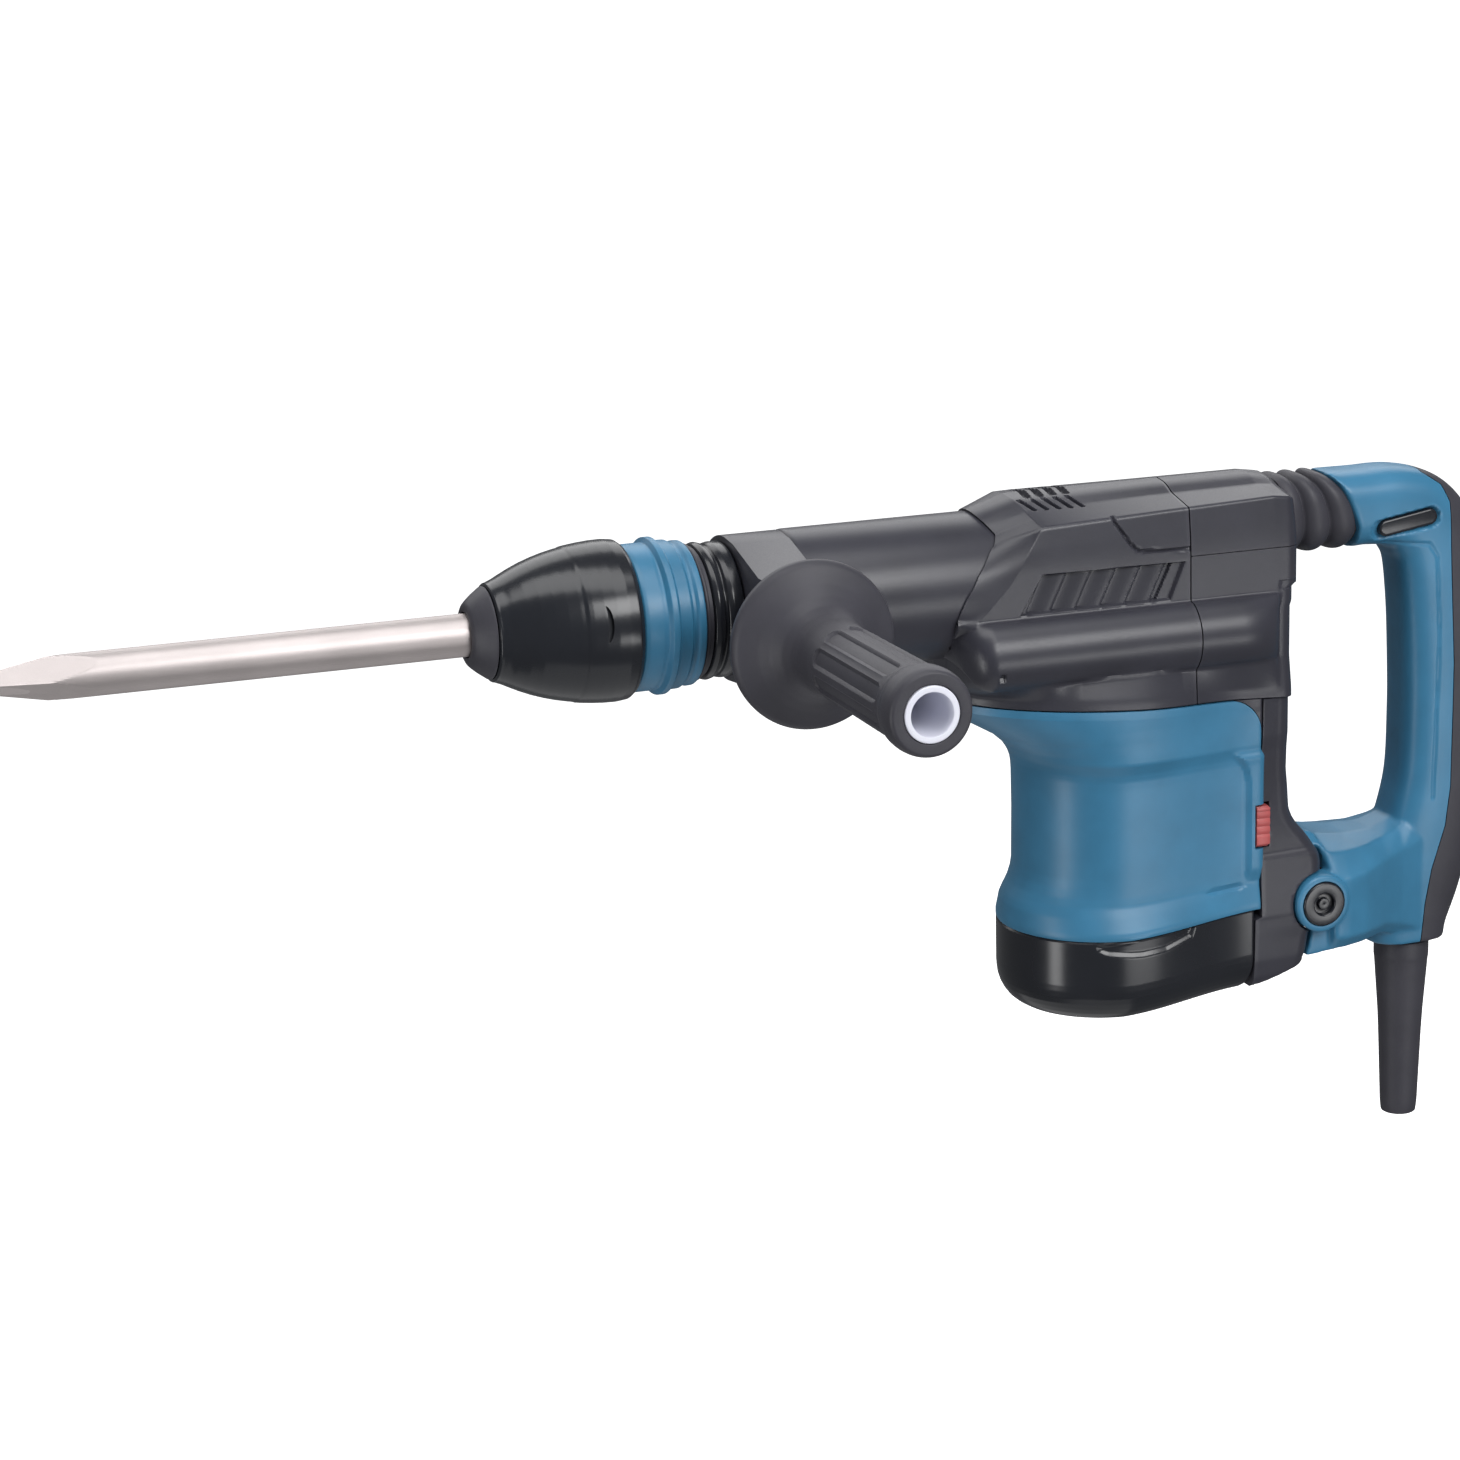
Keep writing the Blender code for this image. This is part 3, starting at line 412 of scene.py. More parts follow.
def put(obj, body, slot, *nodes, sharp=38, blend=None):
    """Gives a piece its finish, hides the CAD nodes it stands for, and puts it in its body; a piece given blend only
    has its placement baked and stays in no body.
    """
    mesh = obj.data
    mesh.materials.clear()
    mesh.materials.append(LOOKS[slot])
    mesh.shade_smooth()
    mesh.set_sharp_from_angle(angle=math.radians(sharp))
    if blend:
        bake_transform(obj)
    else:
        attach(obj, body)
    if nodes:
        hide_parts(*nodes)
    return obj


# axis: from an origin, a distance along it, a radius and an angle to a point
AXES = {
    "+X": lambda o, t, r, a: (o[0] + t, o[1] + r * math.cos(a), o[2] + r * math.sin(a)),
    "-Y": lambda o, t, r, a: (o[0] + r * math.cos(a), o[1] - t, o[2] + r * math.sin(a)),
    "+Z": lambda o, t, r, a: (o[0] + r * math.cos(a), o[1] + r * math.sin(a), o[2] + t),
}


def turned(name, axis, origin, outer, inner, steps=96, soft=0.4, shape=None, step=1.2):
    """A turned ring, in millimetres: its section is rounded, divided finely and swept round the axis."""
    points = mm(*outer, *inner[::-1])
    soft, step = soft / 1000, step / 1000
    count = len(points)
    section = []
    for i, p in enumerate(points):
        p = Vector(p)
        back, on = Vector(points[i - 1]) - p, Vector(points[(i + 1) % count]) - p
        reach = min(soft if i < len(outer) else soft * 0.5, 0.4 * back.length, 0.4 * on.length)
        a, b = p + back.normalized() * reach, p + on.normalized() * reach
        for t in (0.0, 0.33, 0.67, 1.0):
            section.append((a * (1 - t) ** 2 + p * 2 * t * (1 - t) + b * t * t, i < len(outer)))
    rings = []
    for (a, outside), (b, other) in zip(section, section[1:] + section[:1]):
        parts = max(1, math.ceil((b - a).length / step)) if outside and other and shape else 1
        for k in range(parts):
            t, r = a.lerp(b, k / parts)
            ring = []
            for angle in angles(steps):
                reach = r - (shape(t, angle, r) if shape and outside else 0.0)
                ring.append(AXES[axis](origin, t, reach, angle))
            rings.append(ring)
    made = sheet(rings + [rings[0]])
    bmesh.ops.remove_doubles(made, verts=made.verts, dist=1e-7)
    bmesh.ops.recalc_face_normals(made, faces=made.faces)
    return thing(name, made)


# ---------------------------------------------------------------- chuck and barrel

def chisel():
    """An 18 mm bar with a long four-sided point; its shank keeps the two closed grooves."""
    rear, tip, radius = -0.1765, -0.4980, 0.0090
    # by place: the bar's radius and how far the point's four flats lie from the axis
    table = ((tip, radius, 0.0006), (tip + 0.0012, radius, 0.0009), (tip + 0.0640, radius, 0.0095),
             (rear - 0.0030, radius, radius), (rear - 0.0012, 0.0085, radius), (rear, 0.0070, radius))
    rings = []
    for x, size, flat in [*divided(table[:3], 0.0005), *divided(table[2:], 0.0040), table[-1]]:
        ring = []
        for a in angles(96):
            c, s = math.cos(a), math.sin(a)
            reach = min(size, flat * math.sqrt(2) / (abs(c) + abs(s)) if flat < radius else size)
            ring.append((x, reach * c, AXIS_Z + reach * s))
        rings.append(ring)
    bar = solid("chisel_bar", rings)
    # the shank's two closed grooves
    for near, far in ((-0.0166, -0.0066), (0.0066, 0.0166)):
        combine(bar, block((-0.24115, near, AXIS_Z - 0.0034), (-0.21245, far, AXIS_Z + 0.0034)))
    put(bar, "chisel", "blasted_steel", "chisel", sharp=25)


def cover_shape(t, _angle, _r):
    """The rear band stands a little proud of the cone in front of it."""
    return 0.00028 * (1 - ease(-0.2421, -0.2411, t)) * ease(-0.2745, -0.2700, t)


def crescent():
    """A cutter for the finger mark on the cover's band."""
    high, wide, steps = 0.0076, 0.0030, 24
    right = [(wide * math.cos(a), high * math.sin(a))
             for a in (math.radians(-90 + 180 * k / steps) for k in range(steps + 1))]
    left = [(x * 0.25, z) for x, z in right[-2:0:-1]]
    turn = Matrix.Translation((-0.2342, 0.0, AXIS_Z)) @ Matrix.Rotation(math.radians(-10.5), 4, "X")
    return pushed("crescent", [(x, -0.0317, z) for x, z in right + left], (0.0, -0.0080, 0.0), turn)


def grip_shape(t, angle, r):
    """Long sunk flutes round the grip with a thin raised line round each."""
    if not 0.1150 < t < 0.1860:
        return 0.0
    turn = (angle + math.radians(20)) % math.radians(40) - math.radians(20)
    across = abs(turn) * r
    end = min(t - 0.1165, 0.1845 - t)
    edge = min(0.0037 - across, end) if end > 0.0030 or across < 0.0012 else \
        0.0030 - math.hypot(max(0.0, across - 0.0007), 0.0030 - end)
    return 0.0010 * ease(0.0, 0.0009, edge) - 0.0002 * (1 - ease(0.0, 0.0006, abs(edge + 0.0003)))


def chuck():
    """Nose, sliding cover, set ring, seal and collar, and the barrel's tube behind them."""
    nose = turned("nose_rubber", "+X", TOOL,
                  [(-285, 11.6), (-284.3, 13.1), (-282.8, 14.6), (-280.5, 16.5), (-277, 19),
                   (-276.2, 19.4), (-276, 18.8)],
                  [(-285, 9.6), (-276, 9.6)], soft=0.6)
    put(nose, "chuck", "grip_rubber", "nose_cap")
    cover = turned("cover_sleeve", "+X", TOOL,
                   [(-275.7, 19.6), (-275.1, 20.6), (-274.2, 20.7), (-271.5, 22), (-269, 23.3),
                    (-264, 25.7), (-259, 27.8), (-254, 29.5), (-249, 30.9), (-244, 32),
                    (-239, 32.8), (-234, 33.4), (-229, 33.8), (-224, 33.9),
                    (-219.5, 33.4), (-217.7, 32)],
                   [(-275.7, 15.6), (-262, 20.8), (-242, 26.2), (-234, 31.6),
                    (-217.7, 31.6)], 144, 0.4, cover_shape, 0.6)
    combine(cover, crescent())
    put(cover, "release_cover", "black_plastic", "release_cover", sharp=30)
    ring = turned("set_ring", "+X", TOOL,
                  [(-217.4, 29.6), (-216.6, 30.6), (-215, 30.9), (-209, 30.9), (-207.6, 30.7),
                   (-206.8, 30.8), (-205.5, 33), (-202.9, 33), (-201.9, 31.3), (-196.8, 31.2),
                   (-195.7, 29.7), (-194.2, 29.7), (-193, 30.5), (-190.8, 30.4), (-190.3, 30)],
                  [(-217.4, 26.8), (-190.3, 26.8)], 128, 0.3)
    put(ring, "change_ring", "blue_plastic", "change_ring")
    seal = turned("dust_ring", "+X", TOOL,
                  [(-190, 28), (-189.3, 29), (-188.4, 29), (-187.8, 27.6), (-186.2, 27.6)],
                  [(-190, 25.8), (-186.2, 25.8)], 96, 0.3)
    put(seal, "hammer_body", "grip_rubber", "dust_seal")
    collar = turned("lock_collar", "+X", TOOL,
                    [(-185.9, 27.2), (-185.4, 28.4), (-183.6, 29), (-181.6, 28.4), (-180.8, 27),
                     (-179.9, 27), (-179.2, 28.1), (-177.2, 28.6), (-173, 28.4),
                     (-172.3, 27.6)],
                    [(-185.9, 25.8), (-172.3, 25.8)], 96, 0.4)
    put(collar, "hammer_body", "black_plastic", "front_collar")
    barrel = turned("barrel_tube", "+X", TOOL,
                    [(-189.8, 25), (-189.2, 25.5), (-146.4, 25.5), (-146.2, 29.6),
                     (-145.2, 30.8), (-144, 31), (-53.3, 31), (-53.1, 29),
                     (-40, 28.8)],
                    [(-189.8, 22.5), (-130, 22.5), (-129.8, 26.2), (-40, 26.2)], 128, 0.6)
    put(barrel, "hammer_body", "dark_grey_plastic", "barrel")


# ---------------------------------------------------------------- side handle

def side_handle():
    """A flanged rubber grip on a pale tube, screwed to the clamp."""
    grip = Vector((GRIP_X, 0.0, AXIS_Z))
    made = turned("grip_sleeve", "-Y", grip,
                  [(52.3, 18.8), (53, 19.2), (68, 19.2), (69.5, 25), (70.5, 30.5),
                   (72.5, 33.4), (75.2, 34.8), (78.2, 35), (80.3, 33.6), (82.2, 30),
                   (84.5, 26.2), (88, 22), (92, 18.8), (96.5, 16.7), (101, 15.8),
                   (112, 15.5), (150, 15.7), (186, 16), (188.5, 16.6), (190.5, 17.3),
                   (194.5, 17.6), (198.5, 17.4), (201, 16.8), (202, 15.8)],
                  [(52.3, 6.3), (95, 6.3), (95.2, 11.5), (202, 11.5)],
                  144, 1, grip_shape, 0.7)
    put(made, "side_grip", "grip_rubber", "side_grip")
    core = turned("grip_tube", "-Y", grip,
                  [(95.5, 11.2), (202.4, 11.2)],
                  [(95.5, 6.3), (117, 6.3), (117.2, 8.7), (202.4, 8.7)], 96, 0.6)
    put(core, "side_grip", "white_plastic", "side_grip_core")


# ---------------------------------------------------------------- gear housing

def seam_z(x):
    """The blue housing's top edge falls a little towards the rear."""
    return 0.1465 - 0.0075 * (x + 0.0770) / 0.137


SIDE = 0.0335  # half width of the housing's flat side
SKIRT = 0.0447  # half width where the housing meets the motor housing
LOBE_X, LOBE_A = -0.0660, 0.0132  # where the lobes begin to close, and how far their noses reach
LOBE_R, LOBE_END = 0.0172, 0.0490  # the lobes' radius, and where they start to fade into the side
NECK = 0.0319  # radius of the housing's rim round the barrel
SKIRT_FRONT = 0.0753  # how far the skirt's round front reaches
HOUSING_END = 0.0800  # x of the housing's rear face
START = -0.0796  # the housing's foremost ring
# by x, over the axis: crown height, then each ridge's half width and height
CROWN = mm((-45, 37.6, 20, 33, 30.8, 27), (-38, 37.9, 19, 33.3, 31, 27.7), (18, 38, 15, 33.8, 31.2, 30),
           (68, 38, 14.2, 34, 31.4, 31.8), (76, 36.8, 14, 33.2, 30.8, 30.8), (80, 34.5, 13, 31.8, 28.8, 28.8))
COUNTS = (24, 20, 22, 14, 44, 5) + (2,) * 11 + (6, 4, 8)  # steps along each stretch of the outline
# by height over the axis: x of the slanted rim round the barrel, and of the fold behind it
RIM = mm((-10, -79.5), (-5, -78), (0, -75.7), (6, -71.7), (10.4, -69.4), (14.7, -66.5), (23, -62),
         (26.8, -59.5), (30.2, -57.4), (33, -59), (38, -62))
FOLD = mm((-10, -72), (-5, -66), (5, -56), (27.7, -40.5), (31, -42.5), (38, -45.5))


def half_outline(x):
    """Half of the housing's outline, crown first: two ridges, a flat side, a lobe and the skirt."""
    crown, y1, z1, y2, z2 = (value_at(CROWN, x, k) for k in range(1, 6))
    fade = math.sqrt(max(0.0, 1 - (max(0.0, x - LOBE_END) / 0.0230) ** 2))
    skirt = SKIRT - 0.0085 * ease(0.0, 0.0530, x)
    if x < 0:
        skirt = SKIRT * math.sqrt(max(0.0, 1 - (x / SKIRT_FRONT) ** 2))
    floor = seam_z(x) + GAP - AXIS_Z
    points = [(0.0, crown), (y1 * 0.55, crown - 0.0009), (y1, z1), (y2, z2), (SIDE - 0.0003, 0.0150),
              (SIDE, -0.0100)]
    shut = min(1.0, max(0.0, (LOBE_X - x) / LOBE_A))
    size = math.sqrt(1 - shut * shut)
    for degrees in range(60, -51, -10):
        a = math.radians(degrees)
        y = 0.0218 + 0.0064 * size + LOBE_R * size * math.cos(a)
        z = -0.0198 - 0.0058 * size + LOBE_R * size * math.sin(a)
        if degrees < -20:
            y += (max(y, skirt - 0.0026) - y) * ease(-0.0620, -0.0250, x)
        y = SIDE + (y - SIDE) * fade
        reach = math.hypot(y, z)
        keep = max(0.0303, reach) / reach
        points.append((y * keep, z * keep))
    if x > -0.0750:
        points += [(max(0.0006, skirt - 0.0002), floor + 0.0040), (max(0.0008, skirt), floor), (0.0, floor)]
    else:
        points += [(0.0104, -0.0285), (0.0070, -0.0295), (0.0, -0.0303)]
    radii = (0, 0.0040, 0.0009, 0.0012, 0.008, 0.0010) + (0,) * 11 + (0.0035, 0.0016, 0.0005, 0)
    return rounded(points, radii, COUNTS)


def housing_ring(x):
    """One ring; over the neck the foremost rings follow the housing's slanted rim."""
    placed = []
    share = max(0.0, 1 - (x - START) / (-0.0450 - START))
    for p in half_outline(x):
        y, z, at = p.x, p.y, x
        if z > -0.0120:
            blend = ease(-0.0120, -0.0085, z)
            rim, fold = value_at(RIM, z), value_at(FOLD, z)
            at = x + (rim - START) * share * blend
            centre = math.hypot(y, z)
            grow = min(1.0, max(0.0, (at - rim) / (fold - rim)))
            k = 1 + ((NECK + (centre - NECK) * grow) / centre - 1) * blend
            y, z = y * k, z * k
        tuck = max(0.0, x - 0.0740) / 0.0062
        y *= 1 - 0.16 * (1 - math.sqrt(max(0.0, 1 - tuck * tuck)))
        placed.append((at, y, z))
    ring = [(at, y, AXIS_Z + z) for at, y, z in placed]
    return ring + [(x, -y, z) for x, y, z in ring[-2:0:-1]]


# x and height of the louvre panel's corners, and of the stepped joint line behind the crown's slots
PANEL = mm((-41.5, 203.2), (25.2, 202.8), (18, 186.2), (-52, 186.2))
S_LINE = mm((-7.6, 226.2), (-7.3, 222.2), (-3.7, 217.2), (-0.5, 212.5), (2.6, 209.6), (6, 208.7), (29, 207.8))


# from and to across the crown, then the first slot's x, count, pitch, half width and slant
CROWN_SLOTS = ((-0.0010, 0.0098, -0.0365, 4, 0.0060, 0.0016, -0.13),
               (0.0108, 0.0200, -0.0432, 5, 0.0056, 0.0009, 0.52))


def louvres(x, z):
    """Depth of the sunk panel in the side, with its slanted blades."""
    pitch, lean, sunk, blades = 0.0115, 0.481, 0.0020, 5.3
    run = (x - (z - 0.2027) * lean + 0.0415) / pitch
    place = run - math.floor(run)
    blade = 0.0016 * ease(0.02, 0.12, place) * (1 - 0.85 * ease(0.15, 0.95, place)) * ease(0.0, 0.1, run)
    return within(x, z, PANEL, 0.0009) * (sunk + (blade if 0 < run < blades else 0.0))


def crown_slots(x, y):
    """Depth of the two rows of slots in the crown."""
    depth = 0.0
    for low, high, first, count, pitch, half, slant in CROWN_SLOTS:
        run = (x - first - (y - low) * slant) / pitch
        if low < y < high and -0.4 < run < count - 0.6:
            place = abs(run - round(run)) * pitch
            ends = 1 - ease(high - 0.0008, high - 0.0001, y)
            if low > 0:
                ends *= ease(low + 0.0001, low + 0.0008, y)
            depth += 0.0024 * (1 - ease(half - 0.0003, half + 0.0003, place)) * ends
    return depth


def housing_detail(p):
    """Louvres on the sides, slots in the crown, the stepped joint line and a screw hole."""
    x, y, z = p.x, abs(p.y), p.z
    depth = 0.0
    if y > 0.0290 and z > 0.1852 and -0.0600 < x < 0.0290:
        depth += louvres(x, z) + groove(x, z, S_LINE, 0.0005, 0.0012)
    if z > 0.2180 and x < 0.0 and y < 0.0300:
        depth += crown_slots(x, y)
    if y > 0.0300 and 0.1580 < z < 0.1680 and x < -0.0600:
        depth += 0.0016 * (1 - ease(0.0011, 0.0018, math.hypot(x + 0.0645, z - 0.1627)))
    return depth


def gear_housing():
    """The dark front housing, in rings close enough together for its slots and louvres."""
    places = [START]
    while places[-1] < 0.0262:
        places.append(places[-1] + (0.0004 if places[-1] < -0.0120 else 0.0006))
    places += [0.0268, HOUSING_JOINT - GAP]
    made = face_out(sheet([housing_ring(x) for x in places]))
    dent(made, housing_detail)
    put(thicken(thing("gear_case", made)), "hammer_body", "dark_grey_plastic", "gear_housing", sharp=28)


# by height: the rear face of the housing
REAR = mm((130, 76.8), (178, 76.8), (180, 77.6), (186, 77.6), (188, 79.8), (240, 80))


def rear_surface():
    """The housing behind the joint line, closed by a slightly domed rear face."""
    places = [HOUSING_JOINT + GAP]
    while places[-1] < 0.0785:
        places.append(places[-1] + 0.0010)
    places += [0.0791, 0.0796, HOUSING_END]
    rings = []
    for x in places:
        ring = housing_ring(x)
        rings.append([(min(x, HOUSING_JOINT + (x - HOUSING_JOINT)
                           * (value_at(REAR, z) - HOUSING_JOINT) / (HOUSING_END - HOUSING_JOINT)), y, z)
                      for x, y, z in ring])
    last, middle = rings[-1], AXIS_Z - 0.0060
    for share in (0.985, 0.955, 0.90, 0.8, 0.65, 0.5, 0.35, 0.2, 0.08):
        push = 0.0005 * (1 - ease(0.90, 1.0, share))
        rings.append([(x + push, y * share, middle + (z - middle) * share) for x, y, z in last])
    return face_out(sheet(rings, end=True))


def rear_detail(p):
    """A shallow step low on each side's rear end."""
    return 0.0004 if 0.0700 < p.x < 0.0790 and abs(p.y) > 0.0300 and 0.1860 < p.z < 0.1900 else 0.0


def rear_case():
    """The rear housing and the crank's lid over it, cut from one surface."""
    for name, node, keep in (("rear_case", "rear_housing", -1), ("crank_lid", "top_cover", 1)):
        made = rear_surface()
        dent(made, rear_detail)
        cut_at = Vector((0.0, 0.0, TOP_JOINT + keep * GAP * 0.6))
        bmesh.ops.bisect_plane(made, geom=made.verts[:] + made.edges[:] + made.faces[:], plane_co=cut_at,
                               plane_no=(0.0, 0.0, float(keep)), clear_inner=True)
        put(thicken(thing(name, made)), "hammer_body", "dark_grey_plastic", node, sharp=28)


# ---------------------------------------------------------------- motor housing and base

def plan(front, half, rear, rear_half, counts=(44, 52, 4), corner=0.0012):
    """An outline seen from above: a round front, sides that draw in, and a rounded rear."""
    side = []
    for i in range(counts[0]):
        a = math.radians(90 * i / counts[0])
        side.append((-front * math.cos(a), half * math.sin(a)))
    for i in range(counts[1]):
        share = i / counts[1]
        side.append(((rear - corner) * share, half + (rear_half - half) * share * share * (3 - 2 * share)))
    for i in range(counts[2] + 1):
        a = math.radians(90 * i / counts[2])
        side.append((rear - corner + corner * math.sin(a), rear_half - corner + corner * math.cos(a)))
    return [(x, -y) for x, y in side[:0:-1]] + side


# height, front radius, half width, half width at the back
MOTOR = mm((40.3, 45.6, 44.7, 37), (41, 45.9, 45, 37.2), (43, 45.9, 44.9, 37.1), (50, 44.9, 42, 35.9),
           (53, 43.7, 40.7, 35.3), (54.2, 43, 40.2, 34.9), (58, 40.9, 39.7, 34.6), (62, 39.4, 39.5, 34.5),
           (66, 38.7, 39.4, 34.4), (90, 38.4, 39.3, 34.3), (106, 38.6, 39.4, 34.4), (110, 38.8, 39.6, 34.5),
           (113, 39.2, 40.4, 34.8), (116, 40.2, 42, 35.4), (117.2, 40.8, 42.8, 35.8), (118.2, 41.4, 43.2, 36),
           (121.5, 43.7, 43.4, 36.1), (127, 50, 43.6, 36.1), (133, 60.5, 44, 36.2))
MOTOR_BACK = 0.0608
CORNER = 0.0170  # radius of the blue housing's top rear corner


def motor_detail(p):
    """The rear rim that stands proud of the sunk side, and the small hollow over the skirt."""
    x, y, z = p.x, abs(p.y), p.z
    depth = 0.0
    if y > 0.0300 and x > 0.0:
        edge = past_corner(x, z, 0.0545, 0.1180, 0.0160)
        rise = ease(-0.0014, 0.0016, edge) * (1 - ease(0.1130, 0.1172, z)) * ease(0.0540, 0.0640, z)
        depth -= 0.0021 * rise
        depth += 0.0011 * (1 - ease(0.0, 0.0040, abs(z - 0.0552 - (x - 0.0440) * 0.06) * 2.2
                                    + max(0.0, abs(x - 0.0440) - 0.0060) * 0.55))
    return depth


def lift(x):
    """How far the joint between the motor housing and the base climbs towards the rear."""
    climb, start, length = 0.0040, -0.0050, 0.0630
    return climb * min(1.0, max(0.0, (x - start) / length))


def motor_rings():
    """The motor housing from its foot to the flange under the gear housing."""
    rings = []
    for z, front, half, back in divided(MOTOR, 0.0010):
        share = 1 - ease(0.0420, 0.0720, z)
        rings.append([(x, y, z + lift(x) * share) for x, y in plan(front, half, MOTOR_BACK, back)])
    low = plan(*MOTOR[-1][1:3], MOTOR_BACK, MOTOR[-1][3])
    top = plan(0.0750, 0.0445, MOTOR_BACK, 0.0360)
    for k in range(13):
        share = k / 12
        ring = []
        for (ax, ay), (bx, by) in zip(low, top):
            x = ax + (bx - ax) * share
            ring.append((x, ay + (by - ay) * share, MOTOR[-1][0] + (seam_z(x) - 0.0036 - MOTOR[-1][0]) * share))
        rings.append(ring)
    rings.append([(x, y, seam_z(x) - GAP) for x, y in top])
    return rings


def split_corner(made, keep_blue):
    """Parts the rounded corner of the blue housing from the dark filling above it."""
    centre = Vector((MOTOR_BACK - CORNER, 0.0, seam_z(0.0450) - CORNER))
    turns = 12
    chord = CORNER * math.cos(math.radians(45 / turns))
    for k in range(turns):
        a = math.radians(90 * (k + 0.5) / turns)
        normal = Vector((math.cos(a), 0.0, math.sin(a)))
        faces = [f for f in made.faces if f.calc_center_median().x > centre.x - 0.001
                 and f.calc_center_median().z > centre.z - 0.001]
        geometry = set(faces)
        for f in faces:
            geometry.update(f.verts)
            geometry.update(f.edges)
        bmesh.ops.bisect_plane(made, geom=list(geometry), plane_co=centre + normal * chord, plane_no=normal)

    def past(face):
        c = face.calc_center_median()
        dx, dz = c.x - centre.x, c.z - centre.z
        return dx > 0 and dz > 0 and math.hypot(dx, dz) > chord

    bmesh.ops.delete(made, geom=[f for f in made.faces if past(f) == keep_blue], context="FACES")
    return made


def motor_case():
    """The blue housing, and the dark filling past its rounded corner."""
    rings = motor_rings()
    for blue in (True, False):
        made = face_out(sheet(rings))
        dent(made, motor_detail)
        split_corner(made, blue)
        if blue:
            case = thicken(thing("motor_case", made))
            # the notch for the switch
            combine(case, block((0.0577, -0.0500, 0.0715), (0.0650, 0.0500, 0.0915)))
            put(case, "hammer_body", "blue_plastic", "motor_housing", sharp=26)
        else:
            for v in made.verts:
                v.co += Vector((0.00025, 0.0, 0.00025))
            put(thicken(thing("corner_filling", made)), "hammer_body", "dark_grey_plastic", sharp=26)


# x and height round the recess in the base's side
SLOT = mm((-21.2, 39.5), (-20, 35.2), (-16, 33.3), (0, 31.4), (12, 31.5), (25.7, 34.8), (28.4, 42), (0, 42))


def base_detail(p):
    return 0.0012 * within(p.x, p.z, SLOT, 0.0030) if abs(p.y) > 0.0350 and p.z > 0.0290 else 0.0


def base_cup():
    """The black cup under the motor housing; its rim climbs to the rear with the joint."""
    # by height: how far the side draws in
    table = mm((0, 15), (0.6, 11.8), (1.5, 9.2), (3.1, 6.6), (5, 4.5), (7.4, 2.8), (10, 1.5), (13, 0.6),
               (16, 0.2), (19, 0), (39.2, 0), (40, 0.6))
    counts = (70, 110, 4)
    rings = []
    for z, inset in divided(table, 0.0005):
        outline = plan(0.0458 - inset, 0.0450 - inset, 0.0577 - inset * 0.25, 0.0368 - inset, counts)
        rings.append([(x, y, z) for x, y in outline])
    rings.append([(x, y, 0.0400) for x, y in plan(0.0452, 0.0444, 0.0571, 0.0362, counts)])
    rings = [[(x * k, y * k, 0.0) for x, y, z in rings[0]] for k in (0.02, 0.3, 0.6, 0.85, 0.95)] + rings
    made = face_out(sheet(rings, start=True))
    dent(made, base_detail)
    for v in made.verts:
        v.co.z += 0.0016 * (1 - v.co.z / 0.0400) + lift(v.co.x)
    put(thicken(thing("base_cup", made)), "hammer_body", "black_plastic", "base_cover", sharp=30)


# by height: the back of the rear cover, and its half width
COVER_BACK = mm((6, 84), (17.2, 85.3), (20.9, 86.4), (29, 87.8), (34, 91.5), (56, 93.5), (60, 93.8), (64, 93),
                (69, 90.5), (74, 86.8), (78, 83.2), (82, 80.6), (86, 79), (95, 78.2), (105, 77), (140, 76.8))
COVER_HALF = mm((6, 33), (12, 35.6), (20, 36.6), (40, 37), (59, 35.8), (65.5, 35.7), (68, 33.8), (90, 33.8),
                (115, 35.2), (122, 36.2), (140, 36.4))


def rear_cover():
    """The channel behind the motor; two horns on each side reach round the pivot's bosses."""
    rings = []
    corner, pinch = 0.0075, 0.0016
    bottom = 0.0074
    heights = [bottom, 0.0078, 0.0086, 0.0095, 0.0106]
    while heights[-1] < 0.1370:
        heights.append(heights[-1] + 0.0011)
    for z in heights:
        back, half = value_at(COVER_BACK, z), value_at(COVER_HALF, z)
        low_soft = 0.0030 * (1 - ease(0.0060, 0.0100, z))
        start = 0.0581 if z < 0.0402 else MOTOR_BACK + GAP + 0.0002
        side = []
        for i in range(11):
            share = i / 10
            side.append((start + (back - corner - start) * share, half - low_soft - pinch * share))
        for i in range(1, 13):
            a = math.radians(90 * i / 12)
            side.append((back - low_soft - corner + corner * math.sin(a),
                         half - low_soft - pinch - corner + corner * math.cos(a)))
        for i in range(1, 7):
            side.append((back - low_soft, (half - low_soft - pinch - corner) * (1 - i / 6)))
        ring = [(x, y) for x, y in side] + [(x, -y) for x, y in side[-2::-1]]
        ring += [(start, ring[-1][1] * (1 - 2 * i / 10)) for i in range(1, 10)]
        rings.append([(x, y, max(z, bottom + max(0.0, x - 0.0586) * 0.34)) for x, y in ring])
    rings[-1] = [(x, y, seam_z(x) - GAP) for x, y, z in rings[-1]]
    made = sheet(rings, True, True)
    bmesh.ops.remove_doubles(made, verts=made.verts, dist=1e-6)
    bmesh.ops.recalc_face_normals(made, faces=made.faces)
    cover = thing("back_cover", made)
    # the hollow behind the motor, the opening between the horns, the bosses' seats, the pin's hub and its bore
    combine(cover, block((0.0500, -0.0290, 0.0100), (0.0730, 0.0290, 0.1500)))
    combine(cover, block((0.0806, -0.0232, 0.0572), (0.1100, 0.0232, 0.0950)))
    for side in (-1, 1):
        near, far = sorted((side * 0.0244, side * 0.0500))
        combine(cover, rod_y(PIVOT, BOSS_SEAT, near, far))
    combine(cover, rod_y(PIVOT, HUB, -0.0237, 0.0237), "UNION")
    combine(cover, rod_y(PIVOT, PIN, -0.0500, 0.0500, 32))
    # room for the switch
    combine(cover, block((0.0500, -0.0500, 0.0712), (0.0662, 0.0500, 0.0918)))
    soften(cover, 0.0004, 45)
    put(cover, "hammer_body", "dark_grey_plastic", "rear_cover", sharp=30)


